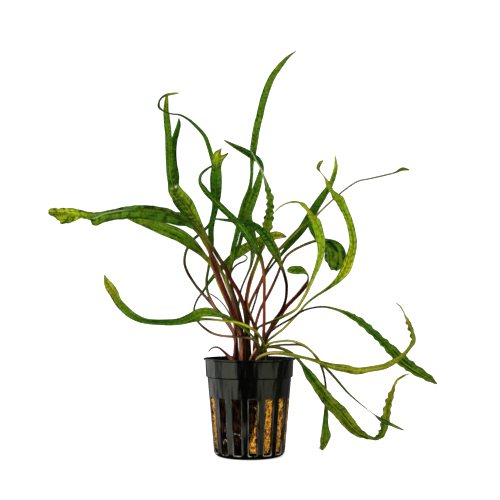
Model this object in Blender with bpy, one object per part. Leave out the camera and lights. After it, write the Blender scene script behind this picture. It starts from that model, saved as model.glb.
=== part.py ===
"""Potted aquarium plant: long strap leaves on thin petioles, growing from a crown in a slotted plastic pot.

Lengths below are in millimetres and are turned into metres by MM where points are made.
+Z is up, the pot's axis is Z, and the origin is the centre of the pot's foot. The front is -Y.
"""

import math

import bmesh
import bpy
from mathutils import Vector

MM = 0.001
GAP = 0.3  # between pieces that touch on the real plant

# Pot: a turned profile with slots cut through its wall
POT_HEIGHT = 54.8
LIP_RADIUS = 26.1
LIP_THICKNESS = 1.0
COLLAR_TOP_RADIUS = 25.1
COLLAR_FOOT_RADIUS = 24.7
COLLAR_FOOT = 44.9  # height of the step under the collar
STEP_HEIGHT = 1.0
BODY_TOP_RADIUS = 23.8  # just under the step
BODY_FOOT_RADIUS = 20.2  # where the wall turns into the foot
CORNER_RADIUS = 3.5  # rounding between wall and foot
WALL = 1.2
FLOOR = 1.4
POT_SIDES = 60

SLOT_COUNT = 15
SLOT_FIRST = 5.5  # degrees to the right of the front, for the slot nearest to it
SLOT_FOOT = 2.6
SLOT_TOP = 33.3
SLOT_FOOT_WIDTH = 4.4
SLOT_TOP_WIDTH = 5.2
SLOT_INWARD = 5  # how far a slot's cutter starts inside the wall's foot
SLOT_OUTWARD = 3  # how far it ends outside the wall's top

# Filling: wool wrapped round a ball of roots that shows at the front left
FILL_FOOT = 5.0
FILL_TOP = 43.8
FILL_CLEARANCE = 0.5  # to the pot's inner wall
WRAP_THICKNESS = 6.0
ROOTS_FROM = -56.0  # degrees to the right of the front: left end of the roots' window
ROOTS_TO = 11.0
SEAM = 1.3  # degrees between the wool and the roots' window
CORE_CLEARANCE = 0.9  # between the roots' core and the wrap
FILL_STEP = 8.0  # degrees between the filling's upright edges, at most

# Crown: a low dome that carries every petiole
CROWN_RADIUS = 12.8
CROWN_FOOT = FILL_TOP + GAP
CROWN_TOP = 47.8
CROWN_FOOT_BEVEL = 1.5
CROWN_TOP_BEVEL = 0.4
CROWN_SIDES = 24

# Leaves are drawn on an upright sheet that is square to the line of sight of a viewer in front,
# and each point is then moved along its own sight line until it has the depth that it needs.
EYE = Vector((0.0, -550.0, 83.8))
AIM_HEIGHT = 116.2  # where the line of sight meets the pot's axis
SHEET_AIM = 118.2  # the same point's height on the sheet, measured from the foot of the pot

PETIOLE = 2.0  # a strap this wide is as thick as it is wide, times ROUNDNESS; wider ones are flatter
ROUNDNESS = 0.8
FLATTENING = 0.9  # how fast a strap gets thinner as it gets wider
SMOOTH_STRAP = 60  # edges of a strap sharper than this, in degrees, are shaded as edges
SMOOTH_TURNED = 40  # the same for the turned pieces
KEEL = 0.16  # how far the midrib stands in front of the edges, as a share of what is wider than a petiole
FOOT_RISE = 2.5  # a petiole leaves the crown straight up for this long
TIP_WIDTH = 0.5  # the least width of a section
SPAN_SAG = 0.3  # a span whose middle strays further than this from straight gets a section there

# Each leaf: where it leaves the crown (x, y), how far its blade is turned about its own length at the
# base and at the tip (degrees), its colour, and rows from the base to the tip. A row holds the place on
# the sheet (across, up), the depth behind the pot's axis, and the width that shows from the front.
LEAVES = {
    "leaf_left_long": (
        (-4.7, -4.0), (10, 30), "dark_green",
        [(-5.4, 69.5, -4.5, 2.6), (-7.7, 77, -4.5, 2.8), (-10, 83, -4.5, 3), (-12.2, 89.5, -4.5, 3),
         (-15.1, 96.5, -5, 3), (-18, 104, -5.5, 3), (-20.8, 111.5, -6, 2.8), (-22.5, 117, -7, 2.6),
         (-24.8, 121.5, -8, 2.6), (-30, 130, -10, 3.5), (-34, 133.5, -11, 5), (-39.7, 135.5, -12, 6.9),
         (-48.3, 138, -14, 8), (-59.7, 140, -17, 8), (-71.2, 139.5, -20, 6.9), (-82.6, 137.5, -23, 6),
         (-88.3, 136.5, -25, 6.6), (-94, 138, -26, 5), (-99.8, 138.5, -27, 6.9), (-105, 138, -28, 8.6),
         (-111, 139.5, -29, 6.3), (-115.2, 140, -30, 3)],
    ),
    "leaf_left_bright": (
        (-6.8, 5.2), (0, 20), "bright_green",
        [(-7.5, 66.5, 5.5, 2), (-8.3, 75, 5.5, 2), (-9.2, 80.5, 5.5, 2), (-13.4, 89.5, 4, 2),
         (-17.4, 98.5, 2.5, 2), (-21.4, 109, 1, 2.2), (-26.5, 115.5, 0, 3.4), (-32.8, 121.5, -2, 6.3),
         (-39.7, 126.5, -3, 7.4), (-48.3, 130, -4, 7.4), (-57, 133.5, -6, 6.3), (-63.7, 135.5, -8, 4.6),
         (-71.2, 137.5, -10, 1.7)],
    ),
    "leaf_upright_folded": (
        (-1.8, -4.0), (0, -10), "bright_green",
        [(-2, 69.5, -4, 2.4), (-2, 78, -4, 2.4), (-3.1, 85.5, -4, 2.4), (-7.1, 95.5, -3.5, 2.4),
         (-10.5, 101, -3, 2.4), (-14, 108, -2.5, 2.4), (-18, 114.5, -2.5, 2.4), (-21.4, 120, -2.6, 2.4),
         (-24.5, 125, -2.6, 2.6), (-27.7, 131, -2.6, 3.4), (-31.7, 137.5, -2, 6), (-36.3, 145, -1, 8),
         (-42, 151.5, 0, 7.5), (-44.6, 158, 0.5, 5), (-45.7, 167, 0, 4.3), (-46, 175.5, 0, 4.3),
         (-46.4, 184, 0, 4), (-47.1, 191.5, -1, 4), (-47.7, 198.5, -1.5, 3.2), (-47.4, 204, -2, 2.3),
         (-47, 207.5, -2, 1.2)],
    ),
    "leaf_upright_dark": (
        (-3.4, 0.9), (0, 10), "dark_green",
        [(-4.2, 69.5, 0.5, 2), (-5.2, 79.5, 0, 2), (-8, 87, 1, 2), (-11.7, 95.5, 2.5, 2),
         (-15.1, 104, 3, 2), (-19.1, 111.5, 4, 2), (-22.8, 118, 5, 2), (-27.1, 126, 5, 2.4),
         (-31.7, 133, 5, 4.6), (-36.8, 140, 5, 4.6), (-42, 147.5, 5, 4.6), (-42.6, 153.5, 5, 4.6),
         (-42.3, 160.5, 5, 4.6), (-43.1, 167, 5, 4), (-43.4, 175.5, 5, 3.7), (-42.8, 181, 5, 3.6),
         (-41.4, 186, 5, 3.2), (-40.3, 190.5, 5.5, 2.3), (-40.3, 193.5, 6, 0.8)],
    ),
    "leaf_thin_loop": (
        (-9.0, 2.7), (0, 0), "dark_green",
        [(-9.2, 70.5, 2.5, 1.7), (-12.9, 76.7, 3, 1.7), (-19.7, 85, 3.5, 1.7), (-26.5, 93, 4.2, 1.7),
         (-30, 97, 3.5, 1.7), (-32.8, 101, 3.5, 1.7), (-35.7, 106, 4, 1.7), (-37.1, 110.5, 5, 1.7),
         (-36.8, 115.5, 6, 1.7), (-35.1, 120, 7.5, 1.7), (-31.7, 124.5, 8.5, 1.7), (-27.1, 128.5, 9, 1.8),
         (-23.1, 132.5, 8.5, 1.8), (-20.3, 138, 7.5, 2), (-18.8, 147, 6.5, 2.2), (-18.5, 155.5, 6, 2.4),
         (-19.7, 164, 6, 2.6), (-21.4, 171, 5, 2.6), (-23.1, 177, 4, 2.6), (-25.4, 183, 2, 2.4),
         (-30, 188.5, -1, 2), (-35.1, 193, -3, 1.6), (-40, 195.5, -5, 1.2), (-44.3, 196, -6, 1),
         (-48.8, 197.5, -7, 1), (-51.7, 200, -8, 1.6), (-51.4, 203.5, -9, 1.2), (-48.3, 206.5, -10, 1.4),
         (-44, 207.5, -11, 1.6), (-40, 208, -12, 0.6)],
    ),
    "leaf_yellow_top": (
        (-8.2, -1.6), (0, 0), "dark_green",
        [(-8.2, 66.5, -1.5, 1.8), (-11.1, 75.5, -1.5, 1.8), (-15.7, 81, -0.5, 1.8), (-19.7, 85.5, 0.5, 1.8),
         (-22.5, 90.5, 1.2, 1.7), (-24.2, 95.5, 3, 1.7), (-24.5, 101, 5, 1.7), (-23.4, 108, 6, 1.7),
         (-22.3, 115.5, 8, 2), (-21.7, 122, 8, 3), (-22, 128.5, 5, 3.4), (-21.4, 134, 3, 3.4),
         (-20, 140, 2, 3.6), (-19.1, 145.5, 1.5, 4.6), (-19.1, 152.5, 1, 6.6), (-19.1, 160.5, 0, 6.8),
         (-18.8, 166, 0, 5.7), (-17.7, 171, -1, 6.8), (-15.7, 174, -1.5, 7)],
    ),
    "leaf_slanting": (
        (7.2, -4.4), (0, 25), "mid_green",
        [(8.1, 69.5, -6.2, 1.8), (8.4, 78, -6.5, 1.8), (8.4, 89.5, -7, 1.8), (8.4, 101, -7.5, 1.9),
         (7.8, 108, -8, 1.9), (6.1, 114.5, -8, 2.6), (2.6, 120.5, -8, 4), (-0.2, 125, -7, 4.3),
         (-3.7, 130, -6, 4.3), (-7.1, 134, -5, 4), (-12.2, 139, -4.5, 3.6), (-16.8, 143.5, -4, 3.6),
         (-21.4, 148, -3, 3.2), (-25.4, 152.5, -1.5, 3.2), (-28.3, 158, 1, 1.8), (-27.7, 161, 2, 1.6),
         (-24.8, 164, 3, 1.5), (-21, 166.5, 3.3, 1)],
    ),
    "leaf_centre_arch": (
        (6.4, 0.8), (0, 30), "mid_green",
        [(8.9, 68.5, 1, 1.8), (11.8, 73.5, 1.5, 1.8), (14.1, 78, 2, 1.9), (16.9, 81.5, 1.5, 1.9),
         (19.2, 85.5, 0, 1.8), (20.6, 89.5, -2, 1.7), (21.2, 94, -5, 1.7), (21.2, 98.5, -7, 1.8),
         (20.4, 102.5, -9, 1.9), (19.2, 106.5, -11, 2), (17.5, 110.5, -13, 2.6), (15.2, 116, -16, 5),
         (12.9, 120, -18, 5.7), (10.6, 124, -19, 5.2), (7.8, 127.5, -20, 4.5), (4.3, 131, -21, 4),
         (0.3, 133.5, -21, 3), (-5.4, 134.5, -20, 2.3), (-11.1, 135, -18, 1.9), (-15.7, 135.5, -16, 1.4),
         (-20.2, 136, -14, 0.9)],
    ),
    "leaf_tallest": (
        (-4.9, -1.4), (0, 15), "mid_green",
        [(-5.1, 66.5, -1.5, 2), (-5.7, 75.5, -1.5, 2), (-7.4, 82.5, -1.5, 2), (-9.4, 89.5, -1, 2.2),
         (-11.7, 96.5, -0.5, 2.2), (-13.1, 102, 0.5, 2.3), (-12.5, 106.5, 1, 2.3), (-10.5, 111.5, 1.5, 2.3),
         (-9.4, 118, 2, 2.9), (-7.7, 125, 3, 3), (-6, 132, 4, 3.4), (-4.5, 138, 5.5, 4),
         (-2, 147, 6.5, 3.4), (0, 152.5, 7.5, 2.6), (1.2, 159.5, 8.5, 2), (1.5, 168, 9, 2.4),
         (2.3, 175.5, 9.5, 4), (3.2, 182, 10, 4.3), (4.3, 188.5, 11, 4.3), (6.1, 195.5, 13, 4.3),
         (7.5, 202, 14, 4.3), (9.5, 208.5, 16, 4.3), (11.8, 214.5, 17, 4), (14.6, 219.5, 19, 3.7),
         (18.1, 224, 20, 3.2), (22.1, 228.5, 22, 1.8), (26.7, 232, 23, 0.6)],
    ),
    "leaf_bent_dark": (
        (-4.6, 3.6), (0, 0), "dark_green",
        [(-5.5, 69.5, 3.2, 1.2), (-6.5, 78, 3.5, 1.2), (-6, 88.5, 3.2, 1.2), (-4.8, 95.5, 3, 1.2),
         (-3.1, 100, 3, 1.2), (-1.1, 104.5, 3, 1.2), (0.6, 108.5, 3, 1.6), (1.5, 112.5, 3, 2.2),
         (2.1, 117.5, 3, 3.2), (2.1, 124, 2.5, 4), (0.3, 131, 2, 5.2), (-1.1, 138, 2, 5.2),
         (1.2, 145.5, 2.5, 5.2), (4.1, 153.5, 3, 4.6), (6.1, 160.5, 3.5, 3.4), (7.1, 165.3, 4, 2.6),
         (5.6, 169, 5, 3.2), (2.3, 171.5, 5, 4), (-2.5, 174.5, 4, 3.7), (-8.2, 177.5, 2, 2.6),
         (-14.5, 181, 0, 0.8)],
    ),
    "leaf_wavy": (
        (4.3, -0.5), (0, 0), "mid_green",
        [(3.8, 70.5, -0.4, 2), (2.1, 76.5, -1, 2), (0.3, 81, -1.5, 2), (-1.4, 85, -1.5, 2.2),
         (-0.8, 95.5, -1.5, 2.4), (1.5, 104, -1, 2.4), (3.8, 110, -0.5, 2.2), (6.1, 117, 0, 2.6),
         (8.4, 124, 0, 4.3), (10.1, 131, 0, 5.7), (11.2, 137, 0, 5.3), (11.8, 142, -0.5, 4.3),
         (11.8, 148, -1, 4), (10.6, 152.5, -1, 3.2), (9.5, 156.5, -1, 2.2), (8.4, 160, -1, 1.3),
         (6.6, 164.5, -1, 1), (3.8, 169.5, -1, 0.8), (0.9, 175, -1, 0.6)],
    ),
    "leaf_narrow_dark": (
        (-2.2, 6.0), (0, 0), "dark_green",
        [(-3.5, 69.5, 6, 1.2), (-5.4, 79.5, 6, 1.2), (-8.2, 89.5, 5.5, 1.2), (-10.5, 98, 5.5, 1.2),
         (-10.8, 106, 5, 1.4), (-9.4, 112, 5, 1.6), (-7.4, 117.5, 6, 2), (-5.7, 121.5, 7, 2.2),
         (-4.5, 126, 8, 2.3), (-3.1, 131.5, 9, 1.8), (-1.5, 135.5, 10, 0.8)],
    ),
    "leaf_orange_tip": (
        (3.6, -6.8), (0, 30), "bright_green",
        [(4.3, 65, -6.2, 1.5), (0.9, 67.5, -6.8, 1.5), (-3.7, 68.5, -7.2, 1.5), (-11.1, 68.7, -6.5, 1.5),
         (-16.8, 69.3, -6, 1.5), (-21.4, 70.7, -5, 1.5), (-25.4, 73.3, -4, 1.5), (-30, 78, -1.5, 1.3),
         (-31.7, 84, 3, 1.2), (-30, 89.5, 6, 1.2), (-26.5, 94.5, 8.5, 1.3), (-22.5, 100.5, 10, 2),
         (-17.4, 106.5, 11, 2.9), (-14, 110, 11, 3.6), (-10, 113.5, 11, 4.6), (-5.4, 117, 11, 5.5),
         (-0.8, 120, 10, 5.5), (3.2, 122, 9, 5.2), (7.2, 124, 9, 5), (11.8, 125.5, 8, 4.8),
         (16.4, 126.5, 6, 4.4), (21.2, 125.7, 5, 0.9)],
    ),
    "leaf_lower_left": (
        (5.4, -9.4), (10, 35), "mid_green",
        [(5.2, 64.5, -9.2, 1.3), (2.6, 68, -9.4, 1.3), (-0.2, 70.7, -9.6, 1.4), (-3.7, 74, -9.8, 1.5),
         (-7.7, 77, -10, 1.7), (-12.2, 79.5, -10, 2.2), (-17.4, 81.3, -10, 3.2), (-22.5, 82.7, -10.5, 5),
         (-28.3, 82.4, -11, 5), (-34, 79.6, -12, 4.8), (-39.7, 77.7, -12.5, 3.6), (-48.3, 77, -14, 3.3),
         (-57, 77.3, -16, 3.1), (-62, 78.4, -18, 3.4), (-66.6, 80.7, -19, 4.2), (-71.7, 85, -20, 4.2),
         (-75.2, 89, -21, 4.4), (-77.5, 93.5, -22, 4.5), (-80.3, 97.5, -23, 4.2), (-82.9, 104, -25, 0.8)],
    ),
    "leaf_yellow_petiole": (
        (7.7, -9.3), (0, 10), "mid_green",
        [(8.5, 62.5, -10.3, 1.4), (7.4, 66, -11, 1.5), (4.9, 70.2, -12, 1.6), (2.1, 72.7, -12.5, 1.6),
         (-2.5, 75.2, -12.5, 1.6), (-8.2, 77, -12.8, 1.5), (-14, 77.6, -12.5, 1.4), (-20, 78.3, -10.5, 1.4),
         (-25.4, 78.7, -8.5, 1.6), (-31.1, 78.4, -7.5, 2.6), (-39.7, 77, -8, 3.2), (-48.3, 76.5, -9.5, 2.8),
         (-57, 77, -12, 1)],
    ),
    "leaf_right_upper": (
        (0.9, 5.2), (0, 15), "dark_green",
        [(0, 69.5, 5.5, 1.2), (-0.2, 77.5, 6, 1.2), (1.5, 83.5, 7, 1.2), (3.2, 88.5, 8, 1.2),
         (5.5, 96.5, 10, 1.2), (8.9, 103.5, 12, 1.3), (14.6, 111.5, 15, 1.5), (18.1, 115.5, 17, 1.9),
         (23.5, 122, 20, 3.2), (29.2, 129, 23, 4.5), (34.1, 136.5, 26, 5.2), (38.7, 144, 29, 5),
         (42.7, 150, 31, 4.2), (46.1, 155, 32, 3.2), (48.4, 161, 34, 2.9), (49.5, 166, 35, 2.3),
         (49, 172, 36, 0.8)],
    ),
    "leaf_far_right_thin": (
        (-0.6, 1.8), (0, 0), "dark_green",
        [(-0.7, 72.5, 1.8, 1.6), (-0.8, 84, 2, 1.8), (2.1, 91.5, 3, 1.8), (5.5, 98, 4.5, 1.7),
         (8.4, 104.5, 6, 1.6), (12.4, 112, 8, 1.6), (16.6, 118, 10, 1.8), (20.4, 121.5, 12, 2.6),
         (24.9, 126, 14, 3), (30, 131, 16, 3.1), (35.2, 135, 18, 2.6), (39.8, 139.5, 20, 1.3),
         (45, 144.5, 23, 1.1), (50.7, 149.5, 26, 1), (56.4, 154, 30, 1), (62.1, 157.5, 34, 1),
         (69, 159, 39, 1), (77.6, 161, 45, 1.1), (83.3, 162.5, 49, 1.2), (87.8, 164.5, 52, 2.3),
         (91.5, 164, 54, 0.8)],
    ),
    "leaf_yellow_s": (
        (2.4, 2.4), (0, 25), "yellow_green",
        [(3.2, 68, 2.3, 1.4), (4.6, 73.3, 2, 1.4), (10.6, 76.5, 0, 1.5), (14.6, 78, -1.5, 1.6),
         (20.9, 81, -3, 1.7), (26.7, 84.5, -4, 1.7), (30.1, 89.5, -5, 1.8), (34.1, 97, -6, 2),
         (37, 104, -7.5, 2.4), (39.2, 109.5, -9, 3.2), (41, 117, -11, 4), (41, 122.5, -12, 4.9),
         (39.8, 128.5, -13, 5.2), (38.1, 133.5, -14, 5.2), (35.8, 137.5, -15, 4), (33.2, 141.5, -16, 3),
         (30.1, 144.5, -17, 2), (26.9, 145.7, -18, 1.3), (22.6, 145.3, -19, 1.1), (18.1, 143.3, -20, 0.9),
         (14.6, 140.2, -21, 0.6)],
    ),
    "leaf_right_yellow": (
        (9.2, 2.0), (0, 20), "yellow_green",
        [(10.4, 66, 2.2, 1.4), (14.6, 69.5, 2.5, 1.4), (19.2, 73, 3, 1.4), (23.2, 77, 3, 1.4),
         (28.9, 83.3, 3, 1.4), (31.8, 86.7, 3, 1.4), (37.5, 91.5, 3, 1.5), (42.1, 94.5, 3, 1.7),
         (46.4, 97.5, 2, 2.4), (51, 101.5, 1, 3.8), (54.7, 106.5, 0, 5.6), (57.5, 113.5, 0, 5.2),
         (59.3, 121, 0, 4.5), (58.1, 131, 1, 4.2), (55.2, 140, 2, 4.3), (51.2, 147, 3, 5.2),
         (47.8, 151, 3, 3.2), (45.3, 155.5, 3, 2.6), (43.2, 159.5, 3, 1), (40.4, 163, 3, 0.8),
         (39.3, 165, 3, 2), (40.2, 167.5, 3, 2.2), (42.3, 169.5, 3, 0.7)],
    ),
    "leaf_crumpled": (
        (3.8, -3.4), (0, 0), "dark_green",
        [(3.4, 70.5, -3.3, 1.6), (3.8, 76.5, -3.5, 1.7), (4.9, 80.5, -3.5, 1.8), (6.3, 84.5, -3, 1.8),
         (10.1, 91.5, -2, 1.8), (12.9, 97, 0, 1.7), (15.8, 103.5, 2, 1.6), (18.6, 110.5, 4, 1.6),
         (20.9, 114.5, 5, 1.6), (24.4, 117.5, 6, 1.6), (28.9, 120, 6, 1.6), (33.5, 122, 6, 1.7),
         (38.7, 123.5, 5.5, 2), (42.7, 123.3, 5, 3.4), (45.7, 121, 4.5, 8), (48, 117.5, 4.5, 11.5),
         (48.9, 113, 5.5, 12), (48.7, 109, 7, 8.5), (48.2, 106.6, 8, 3)],
    ),
    "leaf_behind_s": (
        (3.9, 5.4), (0, 0), "dark_green",
        [(3.2, 68, 6, 1.1), (4.6, 73.3, 6.8, 1.1), (10.6, 76.5, 7.2, 1.1), (14.6, 78, 7.6, 1.1),
         (20.9, 81, 7.5, 1.2), (26.7, 84.5, 6.5, 1.2), (30.1, 89.5, 5, 1.2), (34.1, 97, 2, 1.2),
         (37, 104, 0, 1.3), (39.2, 109.5, -2, 1.6), (40.9, 115, -3, 2), (41.2, 119, -4, 2.6),
         (40.4, 122.5, -4, 3.4), (38.8, 126, -3, 4.4), (37, 129.5, -2, 5), (35.5, 132.5, -1, 4.2),
         (34.5, 135.5, 0, 1.5)],
    ),
    "leaf_small_lens": (
        (6.4, 4.6), (0, 30), "dark_green",
        [(9.5, 67.5, 4.2, 2.2), (11.9, 72, 4.2, 2.2), (14.8, 76.5, 4.5, 2.4), (17.7, 81, 4, 2.4),
         (20.9, 85.5, 3, 2.3), (24.6, 89.5, 0, 2.3), (28.9, 94, -3, 2.4), (32.3, 98.5, -3.8, 2.3),
         (33.5, 101, -5, 1.2), (33.4, 103.5, -7, 1), (32, 105.3, -9, 2), (29, 106.7, -10.5, 4.6),
         (24.5, 107, -11, 4.4), (22, 107, -13, 2.6)],
    ),
    "leaf_right_arch": (
        (10.6, 0.0), (0, 30), "dark_green",
        [(10.6, 70, -0.6, 1.2), (14.6, 73.5, -2, 1.2), (23.2, 78.7, -4, 1.2), (30.7, 83.5, -5, 1.2),
         (36.4, 85.2, -6.5, 1.2), (41.5, 85.8, -8, 1.3), (46.7, 85.1, -10, 1.4), (51.8, 83.5, -12, 1.8),
         (57.5, 81, -15, 3), (64.4, 76.5, -18, 4), (71.8, 70, -22, 4), (77.6, 64.5, -25, 4.6),
         (83.3, 58.7, -28, 5.7), (89, 53.5, -30, 6.2), (96.5, 48.4, -33, 5.1), (102.2, 45, -35, 4),
         (107.3, 41.5, -37, 0.8)],
    ),
    "leaf_olive_front": (
        (3.2, -10.6), (0, 30), "olive",
        [(4.9, 56.2, -11.5, 1.8), (7.8, 58, -12.5, 2), (11.8, 59.2, -13.5, 2.3), (17.5, 59.4, -15, 2.3),
         (23.2, 58.5, -17, 2.2), (28.9, 57.2, -19, 1.8), (34.7, 55.8, -21, 1.8), (43.2, 53, -23, 2.6),
         (49, 51.3, -25, 3.6), (54.7, 50.4, -27, 4.3), (61.5, 49, -29, 4), (69, 50, -31, 3.2),
         (77.6, 51.8, -33, 3.2), (83.3, 54.7, -34, 2.9), (87.9, 58, -36, 2.4), (91.9, 62.7, -38, 2),
         (93.9, 66, -39, 2.8), (93.3, 70, -40, 2.6), (92.3, 73.5, -40, 2.8), (90.7, 77.5, -41, 2.3),
         (89, 81, -42, 0.9), (86.7, 85.5, -42, 0.8), (84.1, 88, -43, 0.6)],
    ),
    "leaf_lower_right": (
        (5.9, -7.0), (0, 15), "mid_green",
        [(7.2, 60.5, -7.5, 1.6), (9.5, 62.3, -8, 1.6), (13.5, 62.8, -9, 1.8), (19.2, 61.6, -11, 1.8),
         (23.2, 59.8, -12.5, 1.8), (27.4, 56.2, -13.5, 1.8), (30.9, 51.8, -14, 2.3), (33.5, 47.8, -15, 4.6),
         (37.5, 42.5, -16, 5.4), (41.5, 37, -18, 6.3), (46.1, 31, -20, 6.9), (51.8, 25.5, -22, 7.4),
         (57.5, 18.5, -24, 6.9), (62.1, 14, -25, 5.2), (66.7, 11.8, -25, 3.4), (70.7, 10.4, -24, 2),
         (74.7, 11.8, -22, 3.8), (77, 16.5, -20, 4), (78.1, 22, -18, 4), (79.3, 29.5, -16, 3.4),
         (81, 35, -15, 2.9), (82.7, 40, -14, 1.8), (83.9, 43, -13, 1.6), (86.1, 45, -13, 1.6),
         (91.3, 47.5, -12, 0.6)],
    ),
    "leaf_hanging_paddle": (
        (7.9, -1.4), (0, 0), "dark_green",
        [(10, 62.5, -1.8, 1.3), (14.6, 63.5, -2, 1.3), (23.2, 64.1, -2, 1.3), (30.7, 63.6, -2, 1.4),
         (34.7, 61, -2, 1.4), (38.1, 57, -2, 1.5), (40.4, 53.5, -3, 1.6), (42.1, 49, -4, 1.4),
         (43.2, 44, -5, 1.3), (43.8, 38, -5, 1.4), (43.8, 29.5, -6, 1.7), (43.8, 24, -6, 2.9),
         (43.5, 19.8, -6, 3.2), (43.5, 15.2, -6, 4.6), (43.8, 12.4, -6, 5.6), (42.9, 9.5, -6, 5.1),
         (42.1, 6.1, -6, 3.4), (40.7, 4.1, -6, 2.3)],
    ),
    "leaf_long_thin_right": (
        (9.4, -5.0), (0, 0), "mid_green",
        [(9.6, 63.5, -5.2, 1.4), (12.9, 65.2, -5.2, 1.4), (17.5, 66, -5.2, 1.4), (22.1, 66.4, -5.5, 1.4),
         (26.1, 65.8, -6, 1.4), (31.2, 63.8, -6, 1.4), (34.7, 61, -6.5, 1.5), (37.8, 57.8, -7, 1.5),
         (41.5, 53, -8, 1.5), (45, 49.5, -9, 1.6), (49.5, 44.5, -11, 1.5), (56.4, 36.5, -15, 1.2),
         (64.4, 29.5, -19, 0.9), (71.8, 23.8, -23, 0.9), (74.7, 21.5, -25, 2), (77.9, 19.8, -27, 2.3),
         (81, 18.5, -28, 1.9), (85, 16.6, -30, 1.5), (88.4, 15.2, -31, 0.6)],
    ),
    "shoot_hook": (
        (-8.6, -5.6), (0, 0), "red_brown",
        [(-10.5, 56, -6, 2.2), (-13.1, 58.5, -6.5, 1.7), (-15.7, 61, -7, 1.2), (-18, 62.5, -7.5, 1.1),
         (-20.2, 62.6, -8, 1), (-22.3, 61.4, -8, 0.9), (-23.4, 59.8, -8, 0.5)],
    ),
    "shoot_curled": (
        (0.4, 8.2), (0, 0), "red_brown",
        [(-1.5, 69.5, 8.5, 1.1), (-4.2, 78, 8.5, 1.1), (-7.1, 88.5, 8, 1.1), (-9.9, 97.5, 8, 1.1),
         (-10.8, 104.5, 8, 1.1), (-8.2, 109, 9, 1.1), (-5.4, 110.8, 6.5, 1.1), (-2.5, 112, 6, 1),
         (-1.2, 113.5, 6, 0.8), (-2.1, 115, 6, 0.8), (-3.4, 115.3, 6, 0.6)],
    ),
    "shoot_grey": (
        (-6.6, 8.2), (0, 0), "olive",
        [(-7.5, 69.5, 8.5, 0.9), (-10.5, 80, 8, 0.9), (-12.8, 84, 7.5, 0.9), (-15.7, 88, 7, 0.8),
         (-19.7, 91.5, 6.5, 0.8), (-22.6, 93.3, 6, 0.6)],
    ),
    "petiole_stub": (
        (0.2, -9.2), (0, 0), "beige",
        [(0.6, 56.2, -9.5, 1.2), (2.4, 59.3, -9.5, 1.2), (3.8, 62, -9.5, 1)],
    ),
}

COLOURS = {  # red, green and blue as displayed, from 0 to 255, and roughness
    "black_plastic": ((26, 27, 27), 0.35),
    "wool": ((176, 128, 46), 0.95),
    "roots": ((44, 30, 20), 0.9),
    "crown": ((92, 62, 48), 0.7),
    "dark_green": ((32, 72, 14), 0.42),
    "mid_green": ((62, 100, 22), 0.42),
    "bright_green": ((86, 134, 24), 0.42),
    "yellow_green": ((138, 150, 28), 0.42),
    "olive": ((108, 110, 38), 0.45),
    "red_brown": ((84, 40, 28), 0.45),
    "beige": ((178, 150, 118), 0.6),
}


def clear_scene():
    """Removes every object, so that the model stands alone."""
    for thing in list(bpy.data.objects):
        bpy.data.objects.remove(thing, do_unlink=True)


def linear(value):
    """A displayed colour value from 0 to 255 as linear light from 0 to 1."""
    share = value / 255
    return share / 12.92 if share <= 0.04045 else ((share + 0.055) / 1.055) ** 2.4


def material(name, colour):
    """A material for one piece, from the named colour."""
    shown, roughness = COLOURS[colour]
    made = bpy.data.materials.new(name)
    made.use_nodes = True
    surface = made.node_tree.nodes["Principled BSDF"]
    surface.inputs["Base Color"].default_value = (*(linear(value) for value in shown), 1)
    surface.inputs["Roughness"].default_value = roughness
    surface.inputs["Metallic"].default_value = 0
    return made


def add_object(name, mesh, colour, smooth_angle=SMOOTH_TURNED):
    """Links a mesh as an object with its own material."""
    thing = bpy.data.objects.new(name, mesh)
    bpy.context.scene.collection.objects.link(thing)
    mesh.materials.append(material(name + "_finish", colour))
    mesh.shade_smooth()
    mesh.set_sharp_from_angle(angle=math.radians(smooth_angle))
    return thing


def mesh_of(name, points, faces):
    """A mesh from points in millimetres, its faces turned outwards."""
    mesh = bpy.data.meshes.new(name)
    mesh.from_pydata([Vector(point) * MM for point in points], [], faces)
    solid = bmesh.new()
    solid.from_mesh(mesh)
    bmesh.ops.recalc_face_normals(solid, faces=solid.faces)
    solid.to_mesh(mesh)
    solid.free()
    return mesh


def lathe(name, profile, sides):
    """Turns a closed outline of (radius, height) about Z. A point on the axis becomes one vertex."""
    points = []
    rings = []
    for radius, height in profile:
        if radius == 0:
            rings.append([len(points)] * sides)
            points.append((0, 0, height))
            continue
        rings.append(list(range(len(points), len(points) + sides)))
        for side in range(sides):
            angle = 2 * math.pi * side / sides
            points.append((radius * math.cos(angle), radius * math.sin(angle), height))
    faces = []
    for lower, upper in zip(rings, rings[1:] + rings[:1]):
        for side in range(sides):
            after = (side + 1) % sides
            corners = [lower[side], lower[after], upper[after], upper[side]]
            face = list(dict.fromkeys(corners))
            if len(face) > 2:
                faces.append(face)
    return mesh_of(name, points, faces)


def body_radius(height):
    """The outer radius of the pot's tapered wall at a height."""
    low = CORNER_RADIUS
    share = (height - low) / (COLLAR_FOOT - STEP_HEIGHT - low)
    return BODY_FOOT_RADIUS + share * (BODY_TOP_RADIUS - BODY_FOOT_RADIUS)


def corner(radius, height, size, steps=3):
    """A quarter-round from the foot's flat up to the wall, as (radius, height) points."""
    turned = []
    for step in range(steps + 1):
        angle = math.pi / 2 * step / steps
        turned.append((radius - size + size * math.sin(angle), height + size * (1 - math.cos(angle))))
    return turned


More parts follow.
